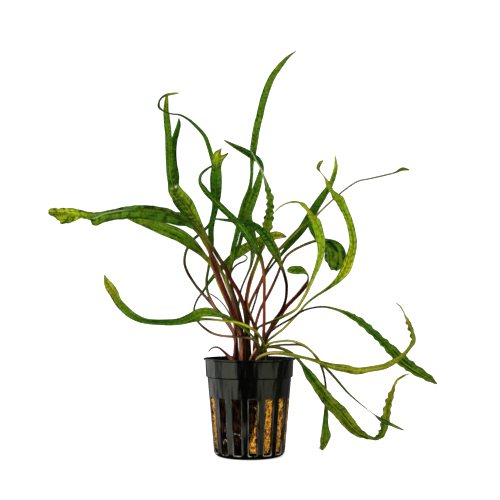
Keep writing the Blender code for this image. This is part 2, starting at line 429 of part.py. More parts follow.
def slot_cutter(index):
    """A wedge that cuts one slot: wider at its top, and running out through the wall."""
    angle = math.radians(SLOT_FIRST - 90 + 360 / SLOT_COUNT * index)
    outward = Vector((math.cos(angle), math.sin(angle), 0))
    across = Vector((-math.sin(angle), math.cos(angle), 0))
    points = []
    for reach in (BODY_FOOT_RADIUS - SLOT_INWARD, BODY_TOP_RADIUS + SLOT_OUTWARD):
        for height, width in ((SLOT_FOOT, SLOT_FOOT_WIDTH), (SLOT_TOP, SLOT_TOP_WIDTH)):
            for side in (-1, 1):
                points.append(outward * reach + across * (side * width / 2) + Vector((0, 0, height)))
    faces = [(0, 2, 3, 1), (4, 5, 7, 6), (0, 1, 5, 4), (2, 6, 7, 3), (0, 4, 6, 2), (1, 3, 7, 5)]
    return points, faces


def build_pot():
    """The pot: a turned shell, with its slots cut out of the wall."""
    inner_foot = body_radius(CORNER_RADIUS) - WALL
    outline = [(0, 0)]
    outline += corner(body_radius(CORNER_RADIUS), 0, CORNER_RADIUS)
    outline += [
        (BODY_TOP_RADIUS, COLLAR_FOOT - STEP_HEIGHT),
        (COLLAR_FOOT_RADIUS, COLLAR_FOOT),
        (COLLAR_TOP_RADIUS, POT_HEIGHT - LIP_THICKNESS),
        (LIP_RADIUS, POT_HEIGHT - LIP_THICKNESS),
        (LIP_RADIUS, POT_HEIGHT),
        (COLLAR_TOP_RADIUS - WALL, POT_HEIGHT),
        (COLLAR_FOOT_RADIUS - WALL, COLLAR_FOOT + WALL),
        (BODY_TOP_RADIUS - WALL, COLLAR_FOOT - STEP_HEIGHT),
    ]
    outline += reversed(corner(inner_foot, FLOOR, CORNER_RADIUS - WALL))
    outline += [(0, FLOOR)]
    pot = add_object("pot", lathe("pot", outline, POT_SIDES), "black_plastic")
    points, faces = [], []
    for index in range(SLOT_COUNT):
        slot_points, slot_faces = slot_cutter(index)
        faces += [tuple(len(points) + corner_index for corner_index in face) for face in slot_faces]
        points += slot_points
    cutter = bpy.data.objects.new("slot_cutters", mesh_of("slot_cutters", points, faces))
    bpy.context.scene.collection.objects.link(cutter)
    cutter.hide_render = True
    cutter.display_type = "WIRE"
    cut = pot.modifiers.new("slots", "BOOLEAN")
    cut.operation = "DIFFERENCE"
    cut.object = cutter


def sector(name, inside, outside, start, end, steps, colour):
    """An upright block between two cones, from one bearing to another, in degrees right of the front."""
    points = []
    for step in range(steps + 1):
        angle = math.radians(start + (end - start) * step / steps - 90)
        for radius, height in (
            (inside(FILL_FOOT), FILL_FOOT),
            (outside(FILL_FOOT), FILL_FOOT),
            (outside(FILL_TOP), FILL_TOP),
            (inside(FILL_TOP), FILL_TOP),
        ):
            points.append((radius * math.cos(angle), radius * math.sin(angle), height))
    faces = [(0, 1, 2, 3), tuple(4 * steps + corner_index for corner_index in range(4))]
    for step in range(steps):
        for corner_index in range(4):
            here = 4 * step + corner_index
            beside = 4 * step + (corner_index + 1) % 4
            faces.append((here, beside, beside + 4, here + 4))
    return add_object(name, mesh_of(name, points, faces), colour)


def fill_radius(height):
    """The outer radius of the filling at a height."""
    return body_radius(height) - WALL - FILL_CLEARANCE


def core_radius(height):
    """The radius of the roots' round core at a height."""
    return fill_radius(height) - WRAP_THICKNESS


def build_wool():
    """The wool: a wrap that goes round the roots, open at the front left."""
    start, end = ROOTS_TO + SEAM, ROOTS_FROM + 360 - SEAM
    steps = math.ceil((end - start) / FILL_STEP)
    sector("mineral_wool", core_radius, fill_radius, start, end, steps, "wool")


def build_roots():
    """The root ball: a round core inside the wrap, with a block that fills the wrap's opening."""
    outline = []
    steps = math.ceil((ROOTS_TO - ROOTS_FROM) / FILL_STEP)
    for step in range(steps + 1):
        outline.append((fill_radius, ROOTS_FROM + (ROOTS_TO - ROOTS_FROM) * step / steps))
    around = 360 + ROOTS_FROM - ROOTS_TO
    steps = math.ceil(around / (2 * FILL_STEP))
    for step in range(steps + 1):
        bearing = ROOTS_TO + around * step / steps
        outline.append((lambda height: core_radius(height) - CORE_CLEARANCE, bearing))
    points = []
    for height in (FILL_FOOT, FILL_TOP):
        for radius, bearing in outline:
            angle = math.radians(bearing - 90)
            points.append((radius(height) * math.cos(angle), radius(height) * math.sin(angle), height))
    count = len(outline)
    faces = [tuple(range(count)), tuple(range(count, 2 * count))]
    for here in range(count):
        after = (here + 1) % count
        faces.append((here, after, after + count, here + count))
    add_object("root_ball", mesh_of("root_ball", points, faces), "roots")


def build_crown():
    """The crown: a low dome on the filling, flat on top, where the petioles start."""
    outline = [
        (0, CROWN_FOOT),
        (CROWN_RADIUS - CROWN_FOOT_BEVEL, CROWN_FOOT),
        (CROWN_RADIUS, (CROWN_FOOT + CROWN_TOP) / 2),
        (CROWN_RADIUS - CROWN_TOP_BEVEL, CROWN_TOP),
        (0, CROWN_TOP),
    ]
    add_object("crown", lathe("crown", outline, CROWN_SIDES), "crown")


def on_sheet(across, up, depth):
    """A point of the sheet, moved along its sight line to a depth (its Y)."""
    tilt = math.atan2(AIM_HEIGHT - EYE.z, -EYE.y)
    above = up - SHEET_AIM
    drawn = Vector((across, -above * math.sin(tilt), AIM_HEIGHT + above * math.cos(tilt)))
    share = (depth - EYE.y) / (drawn.y - EYE.y)
    return EYE + (drawn - EYE) * share


def smooth_rows(rows):
    """The rows, with the middle of a smooth curve (Catmull-Rom) added to each span that bends."""
    padded = [2 * rows[0] - rows[1]] + rows + [2 * rows[-1] - rows[-2]]
    smoothed = []
    for before, start, end, after in zip(padded, padded[1:], padded[2:], padded[3:]):
        middle = (9 * (start + end) - before - after) / 16
        smoothed.append(start)
        if (middle - (start + end) / 2).length > SPAN_SAG:
            smoothed.append(middle)
    return smoothed + [rows[-1]]


def build_leaf(name, root, turns, colour, rows):
    """One leaf as a closed strap: four-sided sections along its midrib, keeled along the middle."""
    foot = Vector((*root, CROWN_TOP + GAP))
    route = [Vector((*foot, rows[0][3])), Vector((*(foot + Vector((0, 0, FOOT_RISE))), rows[0][3]))]
    route += [Vector((*on_sheet(across, up, depth), width)) for across, up, depth, width in rows]
    stations = smooth_rows(route)
    points = []
    for index, station in enumerate(stations):
        place, width = station.xyz, max(station.w, TIP_WIDTH)
        before = stations[max(index - 1, 0)].xyz
        after = stations[min(index + 1, len(stations) - 1)].xyz
        along = (after - before).normalized() if index else Vector((0, 0, 1))
        side = along.cross(place - EYE).normalized()
        face = side.cross(along).normalized()
        bladed = min(max(width / PETIOLE - 1, 0), 1)
        turn = math.radians(turns[0] + (turns[1] - turns[0]) * index / (len(stations) - 1)) * bladed
        turned_side = side * math.cos(turn) + face * math.sin(turn)
        turned_face = face * math.cos(turn) - side * math.sin(turn)
        half = width / 2 / math.cos(turn)
        flat = max(width / PETIOLE, 1)
        thick = ROUNDNESS * min(width, PETIOLE) / flat**FLATTENING / 2
        keel = KEEL * max(width - PETIOLE, 0)
        points += [place - turned_side * half, place + turned_face * (thick - keel)]
        points += [place + turned_side * half, place - turned_face * (thick + keel)]
    faces = [(0, 1, 3), (1, 2, 3)]
    last = len(points) - 4
    faces += [(last, last + 3, last + 1), (last + 1, last + 3, last + 2)]
    for index in range(len(stations) - 1):
        for corner_index in range(4):
            here = 4 * index + corner_index
            beside = 4 * index + (corner_index + 1) % 4
            faces.append((here, beside, beside + 4, here + 4))
    add_object(name, mesh_of(name, points, faces), colour, SMOOTH_STRAP)


def main():
    clear_scene()
    build_pot()
    build_wool()
    build_roots()
    build_crown()
    for name, (root, turns, colour, rows) in LEAVES.items():
        build_leaf(name, root, turns, colour, rows)


main()
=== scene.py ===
"""Potted aquarium plant: strap leaves on thin petioles, in a slotted black pot of mineral wool.

Lengths are in millimetres and are turned into metres by MM where meshes are made.
The front is -Y, +Z is up, and the origin is the centre of the pot's foot.
"""

import math

import bmesh
import bpy
import numpy as np
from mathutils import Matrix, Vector, noise


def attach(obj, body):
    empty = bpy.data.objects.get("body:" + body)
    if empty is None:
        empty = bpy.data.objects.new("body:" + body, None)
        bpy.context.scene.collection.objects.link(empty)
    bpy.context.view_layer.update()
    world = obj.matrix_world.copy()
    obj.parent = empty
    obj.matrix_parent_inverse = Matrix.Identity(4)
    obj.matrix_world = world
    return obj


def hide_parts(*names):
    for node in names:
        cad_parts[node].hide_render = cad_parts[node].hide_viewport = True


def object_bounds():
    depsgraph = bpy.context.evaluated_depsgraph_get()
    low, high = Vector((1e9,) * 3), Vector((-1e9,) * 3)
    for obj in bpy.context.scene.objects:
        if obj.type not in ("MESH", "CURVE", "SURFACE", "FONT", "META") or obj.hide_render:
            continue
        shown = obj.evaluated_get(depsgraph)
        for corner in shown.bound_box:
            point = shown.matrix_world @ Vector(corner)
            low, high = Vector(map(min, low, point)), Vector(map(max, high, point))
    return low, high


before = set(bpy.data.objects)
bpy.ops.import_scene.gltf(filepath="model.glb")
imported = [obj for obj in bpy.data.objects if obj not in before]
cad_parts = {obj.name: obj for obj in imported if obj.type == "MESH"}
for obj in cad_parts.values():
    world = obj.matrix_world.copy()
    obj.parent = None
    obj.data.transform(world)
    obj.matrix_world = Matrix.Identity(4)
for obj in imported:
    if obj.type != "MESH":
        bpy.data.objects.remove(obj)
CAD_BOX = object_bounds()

MM = 0.001

# Pot
POT_HEIGHT = 54.8
LIP_RADIUS = 26.1
LIP_THICKNESS = 1.0
COLLAR_TOP_RADIUS = 25.1
COLLAR_FOOT_RADIUS = 24.7
COLLAR_FOOT = 44.9
STEP_HEIGHT = 1.0
BODY_TOP_RADIUS = 23.8
BODY_FOOT_RADIUS = 20.2
CORNER_RADIUS = 3.5
WALL = 1.2
FLOOR = 1.4
SLOT_COUNT = 15
SLOT_FIRST = 5.5  # degrees to the right of the front
SLOT_FOOT = 2.6
SLOT_TOP = 33.3
SLOT_FOOT_WIDTH = 4.4
SLOT_TOP_WIDTH = 5.2
STEP_EASE = 0.45  # the collar's foot is rounded this much
LIP_EASE = 0.3  # and the lip's edges this much
POT_EDGES = 50  # degrees from which an edge of the pot is drawn sharp
WELD = 1e-6  # points of the pot that are closer than this, in metres, are one

# Filling and crown
FILL_FOOT = 5.0
FILL_TOP = 43.8
FILL_CLEARANCE = 0.5
WRAP_THICKNESS = 6.0
ROOTS_CORE = 3  # the roots' block has a hollow of this radius down its middle, out of sight
ROOTS_FROM = -56.0  # degrees to the right of the front, where the wool is open
ROOTS_TO = 11.0
SEAM = 1.3  # degrees between the wool's edge and the roots
SEAM_LAP = 13  # degrees by which the wool's lower part laps over the roots at the front
SEAM_REACH = 24  # degrees from the seam over which the lap fades out
FOOT_SAG = 1.1  # the soft filling hangs this much below its block at the rim
WOOL_FIBRES = 1100
BROWN_ROOTS = 150
# New white roots, each a loop: its bearing, its height, how wide and how tall it is
WHITE_ROOTS = [(-37, 17, 1.1, 2.6), (-36, 13.5, 0.8, 1.8), (-22, 13.6, 2.2, 0.9), (-15, 11.6, 1.6, 0.8),
               (-41, 9.5, 1.2, 1.4)]
FIBRE_RADIUS = 0.1  # coarser than the real ones, which wouldn't show
BROWN_ROOT_RADIUS = 0.3
WHITE_ROOT_RADIUS = 0.17
CROWN_RADIUS = 12.8
CROWN_TOP = 47.8
CROWN_RINGS = 26
CROWN_SIDES = 96
CROWN_LOBES = 11  # old petiole bases round the crown
CROWN_LOBE_DEPTH = 0.07
GAP = 0.3  # between the crown and the feet of the petioles

# Viewer: the leaves are drawn on a sheet square to the line of sight, then moved along it to a depth
EYE = np.array((0.0, -550.0, 83.8))
AIM_HEIGHT = 116.2
SHEET_AIM = 118.2
FOCAL_PIXELS = 963.6
PICTURE_PIXELS = 500
SENSOR_WIDTH = 36.0
VIEW_OFFSET = 0.34  # the viewer stands this far to the right of the pot's axis

# Studio: the paper in millimetres, the lights in metres
PAPER_WIDTH = 2600  # to each side, and to the front
BACKDROP_FOOT = 900  # behind the pot
BACKDROP_BEND = 500
BACKDROP_HEIGHT = 2600
PAPER_GLOW = 0.7
ROOM_LIGHT = 0.015
LIT_HEIGHT = 0.1  # the softboxes face this height on the pot's axis
NEUTRAL = (1, 1, 1)
# Name, bearing, height, distance, size, radiance, tint, whether it shows in reflections. The front ones are
# warm and the left side one is cool, as the stripes on the photographed pot are.
SOFTBOXES = [
    ("softbox_left", -52, 0.35, 1.0, (0.88, 1.6), 2.0, (1, 1, 0.9), True),
    ("softbox_left_side", -88, 0.35, 1.0, (0.3, 1.6), 0.8, (0.75, 0.85, 1), True),
    ("softbox_left_rear", -125, 0.35, 1.0, (1.0, 1.6), 1.1, NEUTRAL, True),
    ("softbox_right", 47, 0.35, 1.0, (0.85, 1.6), 1.1, (1, 1, 0.78), True),
    ("softbox_right_rear", 140, 0.35, 1.0, (1.3, 1.6), 0.15, NEUTRAL, True),
    ("softbox_top", 0, 1.3, 0.15, (0.9, 0.9), 2.2, NEUTRAL, False),
]

# Leaf meshes
FIRST_ROW = -2  # rows 0 and on are those listed; the two before them are at the crown
FOOT_RISE = 2.5  # a petiole leaves the crown straight up for this long
BLADE_STEP = 0.45  # between stations along a blade
PETIOLE_STEP = 1.3
COLUMNS = 21  # points across a blade, on each face
LEAST_WIDTH = 0.45
RIM_THICKNESS = 0.2
MID_THICKNESS = 0.46
RIDGE_HEIGHT, RIDGE_WIDTH = 0.15, 0.32  # the midrib on the front
KEEL_HEIGHT, KEEL_WIDTH = 0.3, 0.55  # and on the back
VEIN_SLANT = 0.55  # how far a cross-vein's outer end lies towards the tip, as a share of half the width
DOME_MIDDLE, DOME_REACH = 0.52, 0.5  # where the domes lie between the midrib, 0, and the margin, 1
CRUMPLE_LENGTH, CRUMPLE_WIDTH = 5.0, 4.0  # between the folds of a crumpled blade
TIP_LENGTH = 7  # the end of a leaf that takes its tip's shape
PETIOLE_DEPTH = 0.85  # a petiole's depth, as a share of its width
FOOT_SWELL = 3.5  # over this length a petiole is up to a quarter thicker at its foot
FLUTE_DEPTH = 0.07

# Shades of the plant's tissue, chosen from the photograph
SHADES = {
    "near_black": "140806", "black_brown": "24140c", "dark_brown": "38221a", "brown": "57331f",
    "rust_brown": "74401e", "red_brown": "682822", "crimson": "621418", "dark_crimson": "440e14",
    "orange_brown": "9c701c", "tan": "886852", "pink_tan": "b8806a", "pale_tan": "c4a88c",
    "grey_brown": "605240", "slate": "4c4a50",
    "black_green": "16380c", "deep_green": "1a4a08", "dark_green": "285709", "leaf_green": "3b650b",
    "fresh_green": "50720d", "bright_green": "5c7e10", "light_green": "6c8a12", "yellow_green": "7c960e",
    "lime": "94a40e", "dark_olive": "34460e", "olive_green": "4c620a", "olive": "50600a",
    "light_olive": "68740e", "gold_olive": "98982e", "brown_olive": "5c5618", "grey_green": "4e6030",
    "silver_green": "92a47c", "straw": "a8a640", "pale_straw": "b0a46c",
}

# Finishes: colours, and the sizes of patterns in millimetres
WAX_SHINE = "d8e860"  # the green below the waxy skin tints the light that it throws back
FOLD_GLINT = "c8d8b0"
LEAF_BACK = "567038"
LEAF_SPECK = "3a2c10"
SPECK_SPACING = 4.3
LEAF_SHEEN = 2.4
LEAF_RELIEF = 0.12
FINE_VEINS = 15.0  # radians of a sine from the midrib to the margin, so about five veins across a blade
# What tissue is multiplied by, in red, green and blue, where its tone is lowest and highest. Red tissue
# stays red where it is dark and turns pink where it is light; green tissue turns yellow.
GREEN_IN_SHADE, RED_IN_SHADE = (0.16, 0.26, 0.3, 1), (0.3, 0.2, 0.2, 1)
GREEN_IN_LIGHT, RED_IN_LIGHT = (2.1, 1.75, 1.2, 1), (2.1, 1.6, 1.35, 1)
TONE_LIMIT = 1.3
POT_BLACK = [(0.35, "010102"), (0.65, "040503")]
POT_SHINE = "f8fff0"
POT_DUST = "4a4a44"
# painted highlight on the slots' outer edges, brightest at their feet as painted glints
POT_EDGE_HIGHLIGHT = "b8b8ac"
FLOW_MARKS = 16  # where the melt met while it filled the mould
SINK_HOLLOWS = 9  # where the wall shrank as it cooled
MOULD_TEXTURE = 0.4
DUST_GRAINS = 1.1  # coarser than real dust, which wouldn't show
# size of the patches into which the painted highlight on the slots' edges breaks
HIGHLIGHT_PATCH_SIZE = 3
# Fibre ramps, gaps to clumps: painted shade at the dark end, own colour in the middle, painted light at the
# light end
ROCK_WOOL = [(0.28, "1c0c03"), (0.41, "a4560a"), (0.56, "f89c1c"), (0.85, "ffd850")]
LOOSE_WOOL = [(0.3, "a85c0c"), (0.5, "ffa020"), (0.7, "ffdc6c")]
# These two: the roots' own dark brown, darkened further with painted shade from inside the pot
PEATY_ROOTS = [(0.3, "010101"), (0.5, "070302"), (0.75, "1c0c07")]
BROWN_BARK = [(0.3, "050202"), (0.5, "180904"), (0.75, "40200e")]
YOUNG_ROOT = [(0.3, "6a5c54"), (0.5, "a89c90"), (0.7, "d8d0c4")]
PETIOLE_BASES = [(0.3, "1a0e0a"), (0.5, "4a2c1e"), (0.7, "8a5c42")]
PALE_PAPER = "f2f2f0"
WHITE = "ffffff"

# The leaves and shoots, placed over the enlarged photograph. Each has:
#   root         where its petiole leaves the crown, (x, y)
#   rows         (across, up) on the sheet, depth behind the pot's axis, width; row 0 is the first listed
#   blade_from   the row where the petiole opens into the blade
#   turns        (row, degrees by which the blade is turned about its own length)
#   tissue, rib  (row, shade) of petiole and blade, and of the midrib
#   flanks       shades of the petiole's right and left flank, partly own colour, partly painted light and shade
#   waves        (row, height, length) of the margins' waves
#   puckers      (row, height, length) of the domes between the veins
#   shift        (row, how far the midrib lies off the middle)
#   lobes        (row, share of the width on the left, the same on the right)
#   sides        (row, tone of the right half, tone of the left half), painted light and shade on each half
#   marks        (row, place across, size, tone): light spots are painted glints; dark spots painted shade and flecks
#   creases      (first row, last row, place across, size, depth), each a groove along the blade, painted shade in it
#   crinkle      first row, height and length of tight waves towards the tip
#   crumple      height of folds in all directions, with painted light on the folds and painted shade between
#   fold         how far the halves stand up from the midrib
#   ripple       how far the margin goes in and out with its waves
#   tip_shape    (place across, how much further the tip reaches there)
#   dome_tone    how strongly the painted light on the domes and painted shade in the veins between them show
# What is left is how the blade is finished, as leaf_material takes it. Right is -1 and left is 1 across.
PLANT = {}
PLANT["leaf_left_long"] = dict(
    root=(-4.7, -4.0), turns=[(8, 8), (21, 20)], blade_from=8,
    tissue=[(-2, "pink_tan"), (0, "pink_tan"), (0.5, "brown"), (1.5, "dark_crimson"), (4, "crimson"),
            (6, "dark_crimson"), (7, "brown"), (8, "brown_olive"), (10, "deep_green"), (14, "leaf_green"),
            (16.5, "fresh_green"), (18, "yellow_green"), (21, "light_olive")],
    rib=[(0, "crimson"), (8, "brown"), (12.4, "brown"), (13.4, "olive"), (14.2, "silver_green"),
         (15.9, "silver_green"), (16.4, "light_olive"), (21, "light_olive")], rib_share=0.8, rib_width=0.45,
    flanks=("dark_crimson", "brown"), dome_tone=1.5, sides=[(8, -0.2, 0), (16, -0.2, 0), (18, 0, 0)],
    marks=[(16.2, 0.9, 0.7, -1.3), (19.1, -0.9, 0.8, -1), (20.2, -0.2, 0.6, -0.8)], ripple=0.12,
    waves=[(0, 0.6, 7.5), (14, 0.4, 8), (16.5, 0.35, 5)],
    puckers=[(0, 0.5, 7), (10, 0.9, 7), (12.5, 0.9, 8), (14, 0.3, 6), (16, 0.25, 3.8), (21, 0.4, 3.4)],
    shift=[(9, -0.1), (11, -0.3), (12, -0.45), (13, -0.32), (15, -0.45), (15.8, -0.1), (16.6, 0.35),
           (17.5, 0.3), (18.5, 0), (19.2, -0.25), (21, -0.2)],
    lobes=[(10.6, 1, 1), (11, 1, 1.14), (11.5, 1, 0.98), (12, 1, 1.1), (12.5, 1, 1), (15, 1, 1),
           (15.8, 1.2, 1), (16.15, 1.2, 1), (16.35, 0.6, 1), (17.4, 0.75, 1), (18.2, 1.05, 1), (19.3, 1, 1),
           (19.7, 1, 0.88), (20.2, 1, 1)],
    tip_shape=[(-1, -1.5), (-0.85, -0.4), (-0.5, 0), (0, 0), (0.2, -0.7), (0.35, -3), (0.6, -4.4), (1, -8)],
    rows=[(-5.4, 69.5, -4.5, 2.6), (-7.7, 77, -4.5, 2.8), (-10, 83, -4.5, 3), (-12.2, 89.5, -4.5, 3),
          (-15.1, 96.5, -5, 3), (-18, 104, -5.5, 3), (-20.8, 111.5, -6, 2.8), (-22.5, 117, -7, 2.6),
          (-24.8, 121.5, -8, 2.6), (-30, 130, -10, 3.5), (-34, 133.5, -11, 5), (-39.7, 135.5, -12, 6.9),
          (-48.3, 138, -14, 8), (-59.7, 140, -17, 8), (-71.2, 139.5, -20, 6.9), (-82.6, 137.5, -23, 6),
          (-88.3, 136.5, -25, 6.6), (-94, 138, -26, 5), (-99.8, 138.5, -27, 6.9), (-105, 138, -28, 8.6),
          (-111, 138, -29, 8.8), (-115, 138, -30, 8.4)],
)
PLANT["leaf_left_bright"] = dict(
    root=(-6.8, 5.2), turns=[(5, 0), (12, 20)], blade_from=5,
    tissue=[(-2, "dark_crimson"), (1, "tan"), (3, "gold_olive"), (5, "light_olive"), (6.5, "dark_olive"),
            (8, "leaf_green"), (10, "fresh_green"), (12, "light_green")],
    rib=[(4, "light_olive"), (6, "dark_olive"), (8, "fresh_green"), (12, "yellow_green")], rib_width=0.5,
    flanks=("tan", "gold_olive"), vein_depth=0.3, mottle=1.2, marks=[(8.95, 0.15, 0.45, -1.3)], fold=0.25,
    waves=[(0, 0.3, 14)], puckers=[(0, 0.12, 3.4)],
    rows=[(-7.5, 66.5, 5.5, 2), (-8.3, 75, 5.5, 2), (-9.2, 80.5, 5.5, 2), (-13.4, 89.5, 4, 2),
          (-17.4, 98.5, 2.5, 2), (-21.4, 109, 1, 2.2), (-26.5, 115.5, 0, 3.4), (-32.8, 121.5, -2, 6.3),
          (-39.7, 126.5, -3, 7.4), (-48.3, 130, -4, 7.4), (-57, 133.5, -6, 6.3), (-63.7, 135.5, -8, 4.6),
          (-71.2, 137.5, -10, 1.7)],
)
PLANT["leaf_upright_folded"] = dict(
    root=(-1.8, -4.0), turns=[(8, 0), (20, -10)], blade_from=8,
    tissue=[(-2, "near_black"), (0.6, "near_black"), (2, "dark_crimson"), (5, "dark_crimson"),
            (7, "brown_olive"), (9, "fresh_green"), (11.8, "bright_green"), (12.5, "dark_green"),
            (17, "leaf_green"), (20, "light_olive")],
    rib=[(7, "red_brown"), (10, "red_brown"), (12.2, "brown"), (12.8, "light_green"), (20, "bright_green")],
    rib_share=0.75, flanks=("near_black", "dark_crimson"), mottle=1.1,
    sides=[(8, 0.2, -0.2), (11, 0.3, -0.5), (12.2, 0.3, -0.5), (12.6, -0.3, 0.3), (20, -0.2, 0.2)],
    marks=[(12.18, -0.85, 0.9, 0.5), (12.36, -0.5, 1.1, 0.75), (12.44, 0, 1.1, 0.75), (12.36, 0.45, 1, 0.7),
           (12.1, 0.8, 0.9, 0.6), (12.1, -0.1, 0.8, -0.7), (12.8, 0, 1, -0.8), (12.8, 0.6, 1, -0.6)],
    fold=0.4, waves=[(0, 0.35, 8)], puckers=[(0, 0.28, 3.2), (12.5, 0.35, 2.9)],
    lobes=[(11.4, 1, 1), (12.2, 1.15, 1), (12.9, 0.95, 1.1), (14, 1, 1)],
    rows=[(-2, 69.5, -4, 2.4), (-2, 78, -4, 2.4), (-3.1, 85.5, -4, 2.4), (-7.1, 95.5, -3.5, 2.4),
          (-10.5, 101, -3, 2.4), (-14, 108, -2.5, 2.4), (-18, 114.5, -2.5, 2.4), (-21.4, 120, -2.6, 2.4),
          (-24.5, 125, -2.6, 2.6), (-27.7, 131, -2.6, 3.4), (-31.7, 137.5, -2, 6), (-36.3, 145, -1, 8),
          (-42, 151.5, 0, 7.5), (-44.6, 158, 0.5, 5), (-45.7, 167, 0, 4.3), (-46, 175.5, 0, 4.3),
          (-46.4, 184, 0, 4), (-47.1, 191.5, -1, 4), (-47.7, 198.5, -1.5, 3.2), (-47.4, 204, -2, 2.3),
          (-47, 207.5, -2, 1.2)],
)
PLANT["leaf_upright_dark"] = dict(
    root=(-3.4, 0.9), turns=[(7, 0), (18, 10)], blade_from=7,
    tissue=[(-2, "dark_brown"), (1, "brown"), (5, "light_olive"), (8, "dark_green"), (12, "dark_green"),
            (14, "deep_green"), (17, "dark_green"), (18, "olive")],
    rib=[(8, "leaf_green"), (18, "leaf_green")], rib_share=0.4, flanks=("dark_brown", "olive"),
    sides=[(8, -0.3, 0.1)], waves=[(0, 0.25, 7)], puckers=[(0, 0.22, 2.8)],
    rows=[(-4.2, 69.5, 0.5, 2), (-5.2, 79.5, 0, 2), (-8, 87, 1, 2), (-11.7, 95.5, 2.5, 2),
          (-15.1, 104, 3, 2), (-19.1, 111.5, 4, 2), (-22.8, 118, 5, 2), (-27.1, 126, 5, 2.4),
          (-31.7, 133, 5, 4.6), (-36.8, 140, 5, 4.6), (-42, 147.5, 5, 4.6), (-42.6, 153.5, 5, 4.6),
          (-42.3, 160.5, 5, 4.6), (-43.1, 167, 5, 4), (-43.4, 175.5, 5, 3.7), (-42.8, 181, 5, 3.6),
          (-41.4, 186, 5, 3.2), (-40.3, 190.5, 5.5, 2.3), (-40.3, 193.5, 6, 0.8)],
)
PLANT["leaf_thin_loop"] = dict(
    root=(-9.0, 2.7), blade_from=11,
    tissue=[(-2, "dark_crimson"), (0, "crimson"), (1, "pink_tan"), (3, "grey_brown"), (5.5, "black_brown"),
            (8, "dark_olive"), (11, "dark_green"), (16, "leaf_green"), (20, "dark_green"),
            (23, "black_green"), (27, "black_green"), (27.6, "olive"), (29, "light_olive")],
    rib=[(12, "leaf_green"), (26, "dark_green"), (29, "yellow_green")], rib_share=0.35,
    flanks=("black_brown", "brown"), marks=[(25.6, 0, 0.7, 0.7)], fold=0.25, waves=[(0, 0.2, 5)],
    puckers=[(0, 0.1, 2.6)],
    rows=[(-9.2, 70.5, 2.5, 1.7), (-12.9, 76.7, 3, 1.7), (-19.7, 85, 3.5, 1.7), (-26.5, 93, 4.2, 1.7),
          (-30, 97, 3.5, 1.7), (-32.8, 101, 3.5, 1.7), (-35.7, 106, 4, 1.7), (-37.1, 110.5, 5, 1.7),
          (-36.8, 115.5, 6, 1.7), (-35.1, 120, 7.5, 1.7), (-31.7, 124.5, 8.5, 1.7), (-27.1, 128.5, 9, 1.8),
          (-23.1, 132.5, 8.5, 1.8), (-20.3, 138, 7.5, 2), (-18.8, 147, 6.5, 2.2), (-18.5, 155.5, 6, 2.4),
          (-19.7, 164, 6, 2.6), (-21.4, 171, 5, 2.6), (-23.1, 177, 4, 2.6), (-25.4, 183, 2, 2.4),
          (-30, 188.5, -1, 2), (-35.1, 193, -3, 1.6), (-40, 195.5, -5, 1.2), (-44.3, 196, -6, 1),
          (-48.8, 197.5, -7, 1), (-51.7, 200, -8, 1.6), (-51.4, 203.5, -9, 1.2), (-48.3, 206.5, -10, 1.4),
          (-44, 207.5, -11, 1.6), (-40, 208, -12, 0.6)],
)
PLANT["leaf_yellow_top"] = dict(
    root=(-8.2, -1.6), blade_from=8,
    tissue=[(-2, "dark_crimson"), (-0.2, "dark_crimson"), (0.4, "pink_tan"), (1, "pink_tan"), (3, "tan"),
            (5, "dark_olive"), (8, "dark_green"), (11, "deep_green"), (15, "dark_green"),
            (16.2, "leaf_green"), (17, "yellow_green"), (18, "brown_olive")],
    rib=[(9, "leaf_green"), (15.6, "leaf_green"), (16.4, "gold_olive"), (17.6, "orange_brown"),
         (18, "brown")], rib_share=0.6, flanks=("dark_brown", "red_brown"), vein_depth=0.4,
    sides=[(8, -0.1, 0.1)], marks=[(18, -0.9, 0.9, -0.9), (18, 0.45, 0.8, -0.9)],
    waves=[(0, 0.5, 5), (13, 0.35, 7)], puckers=[(0, 0.32, 2.6), (13, 0.4, 3)],
    tip_shape=[(-1, 1.6), (-0.82, 2.2), (-0.6, 0.4), (-0.1, -1.6), (0.15, -0.2), (0.42, 2.4), (0.62, 1),
               (1, -1.6)],
    rows=[(-8.2, 66.5, -1.5, 1.8), (-11.1, 75.5, -1.5, 1.8), (-15.7, 81, -0.5, 1.8), (-19.7, 85.5, 0.5, 1.8),
          (-22.5, 90.5, 1.2, 1.7), (-24.2, 95.5, 3, 1.7), (-24.5, 101, 5, 1.7), (-23.4, 108, 6, 1.7),
          (-22.3, 115.5, 8, 2), (-21.7, 122, 8, 3), (-22, 128.5, 5, 3.4), (-21.4, 134, 3, 3.4),
          (-20, 140, 2, 3.6), (-19.1, 145.5, 1.5, 4.6), (-19.1, 152.5, 1, 6.6), (-19.1, 160.5, 0, 6.8),
          (-18.8, 166, 0, 5.7), (-17.7, 171, -1, 6.8), (-15.7, 174, -1.5, 7)],
)
PLANT["leaf_slanting"] = dict(
    root=(7.2, -4.4), turns=[(4, 0), (17, 25)], blade_from=4.5,
    tissue=[(-2, "dark_crimson"), (0, "red_brown"), (3.5, "rust_brown"), (5, "dark_olive"),
            (7, "dark_green"), (10, "deep_green"), (15, "deep_green"), (17, "black_green")],
    rib=[(4, "brown_olive"), (6, "grey_green"), (9, "light_green"), (13, "fresh_green"), (17, "dark_green")],
    rib_share=0.9, flanks=("dark_brown", "rust_brown"), gloss=0.02, dome_tone=1.5, sides=[(8, 0.1, -0.1)],
    fold=0.35, puckers=[(0, 0.4, 2.7)],
    rows=[(8.1, 69.5, -6.2, 1.8), (8.4, 78, -6.5, 1.8), (8.4, 89.5, -7, 1.8), (8.4, 101, -7.5, 1.9),
          (7.8, 108, -8, 1.9), (6.1, 114.5, -8, 2.6), (2.6, 120.5, -8, 4), (-0.2, 125, -7, 4.3),
          (-3.7, 130, -6, 4.3), (-7.1, 134, -5, 4), (-12.2, 139, -4.5, 3.6), (-16.8, 143.5, -4, 3.6),
          (-21.4, 148, -3, 3.2), (-25.4, 152.5, -1.5, 3.2), (-28.3, 158, 1, 1.8), (-27.7, 161, 2, 1.6),
          (-24.8, 164, 3, 1.5), (-21, 166.5, 3.3, 1)],
)
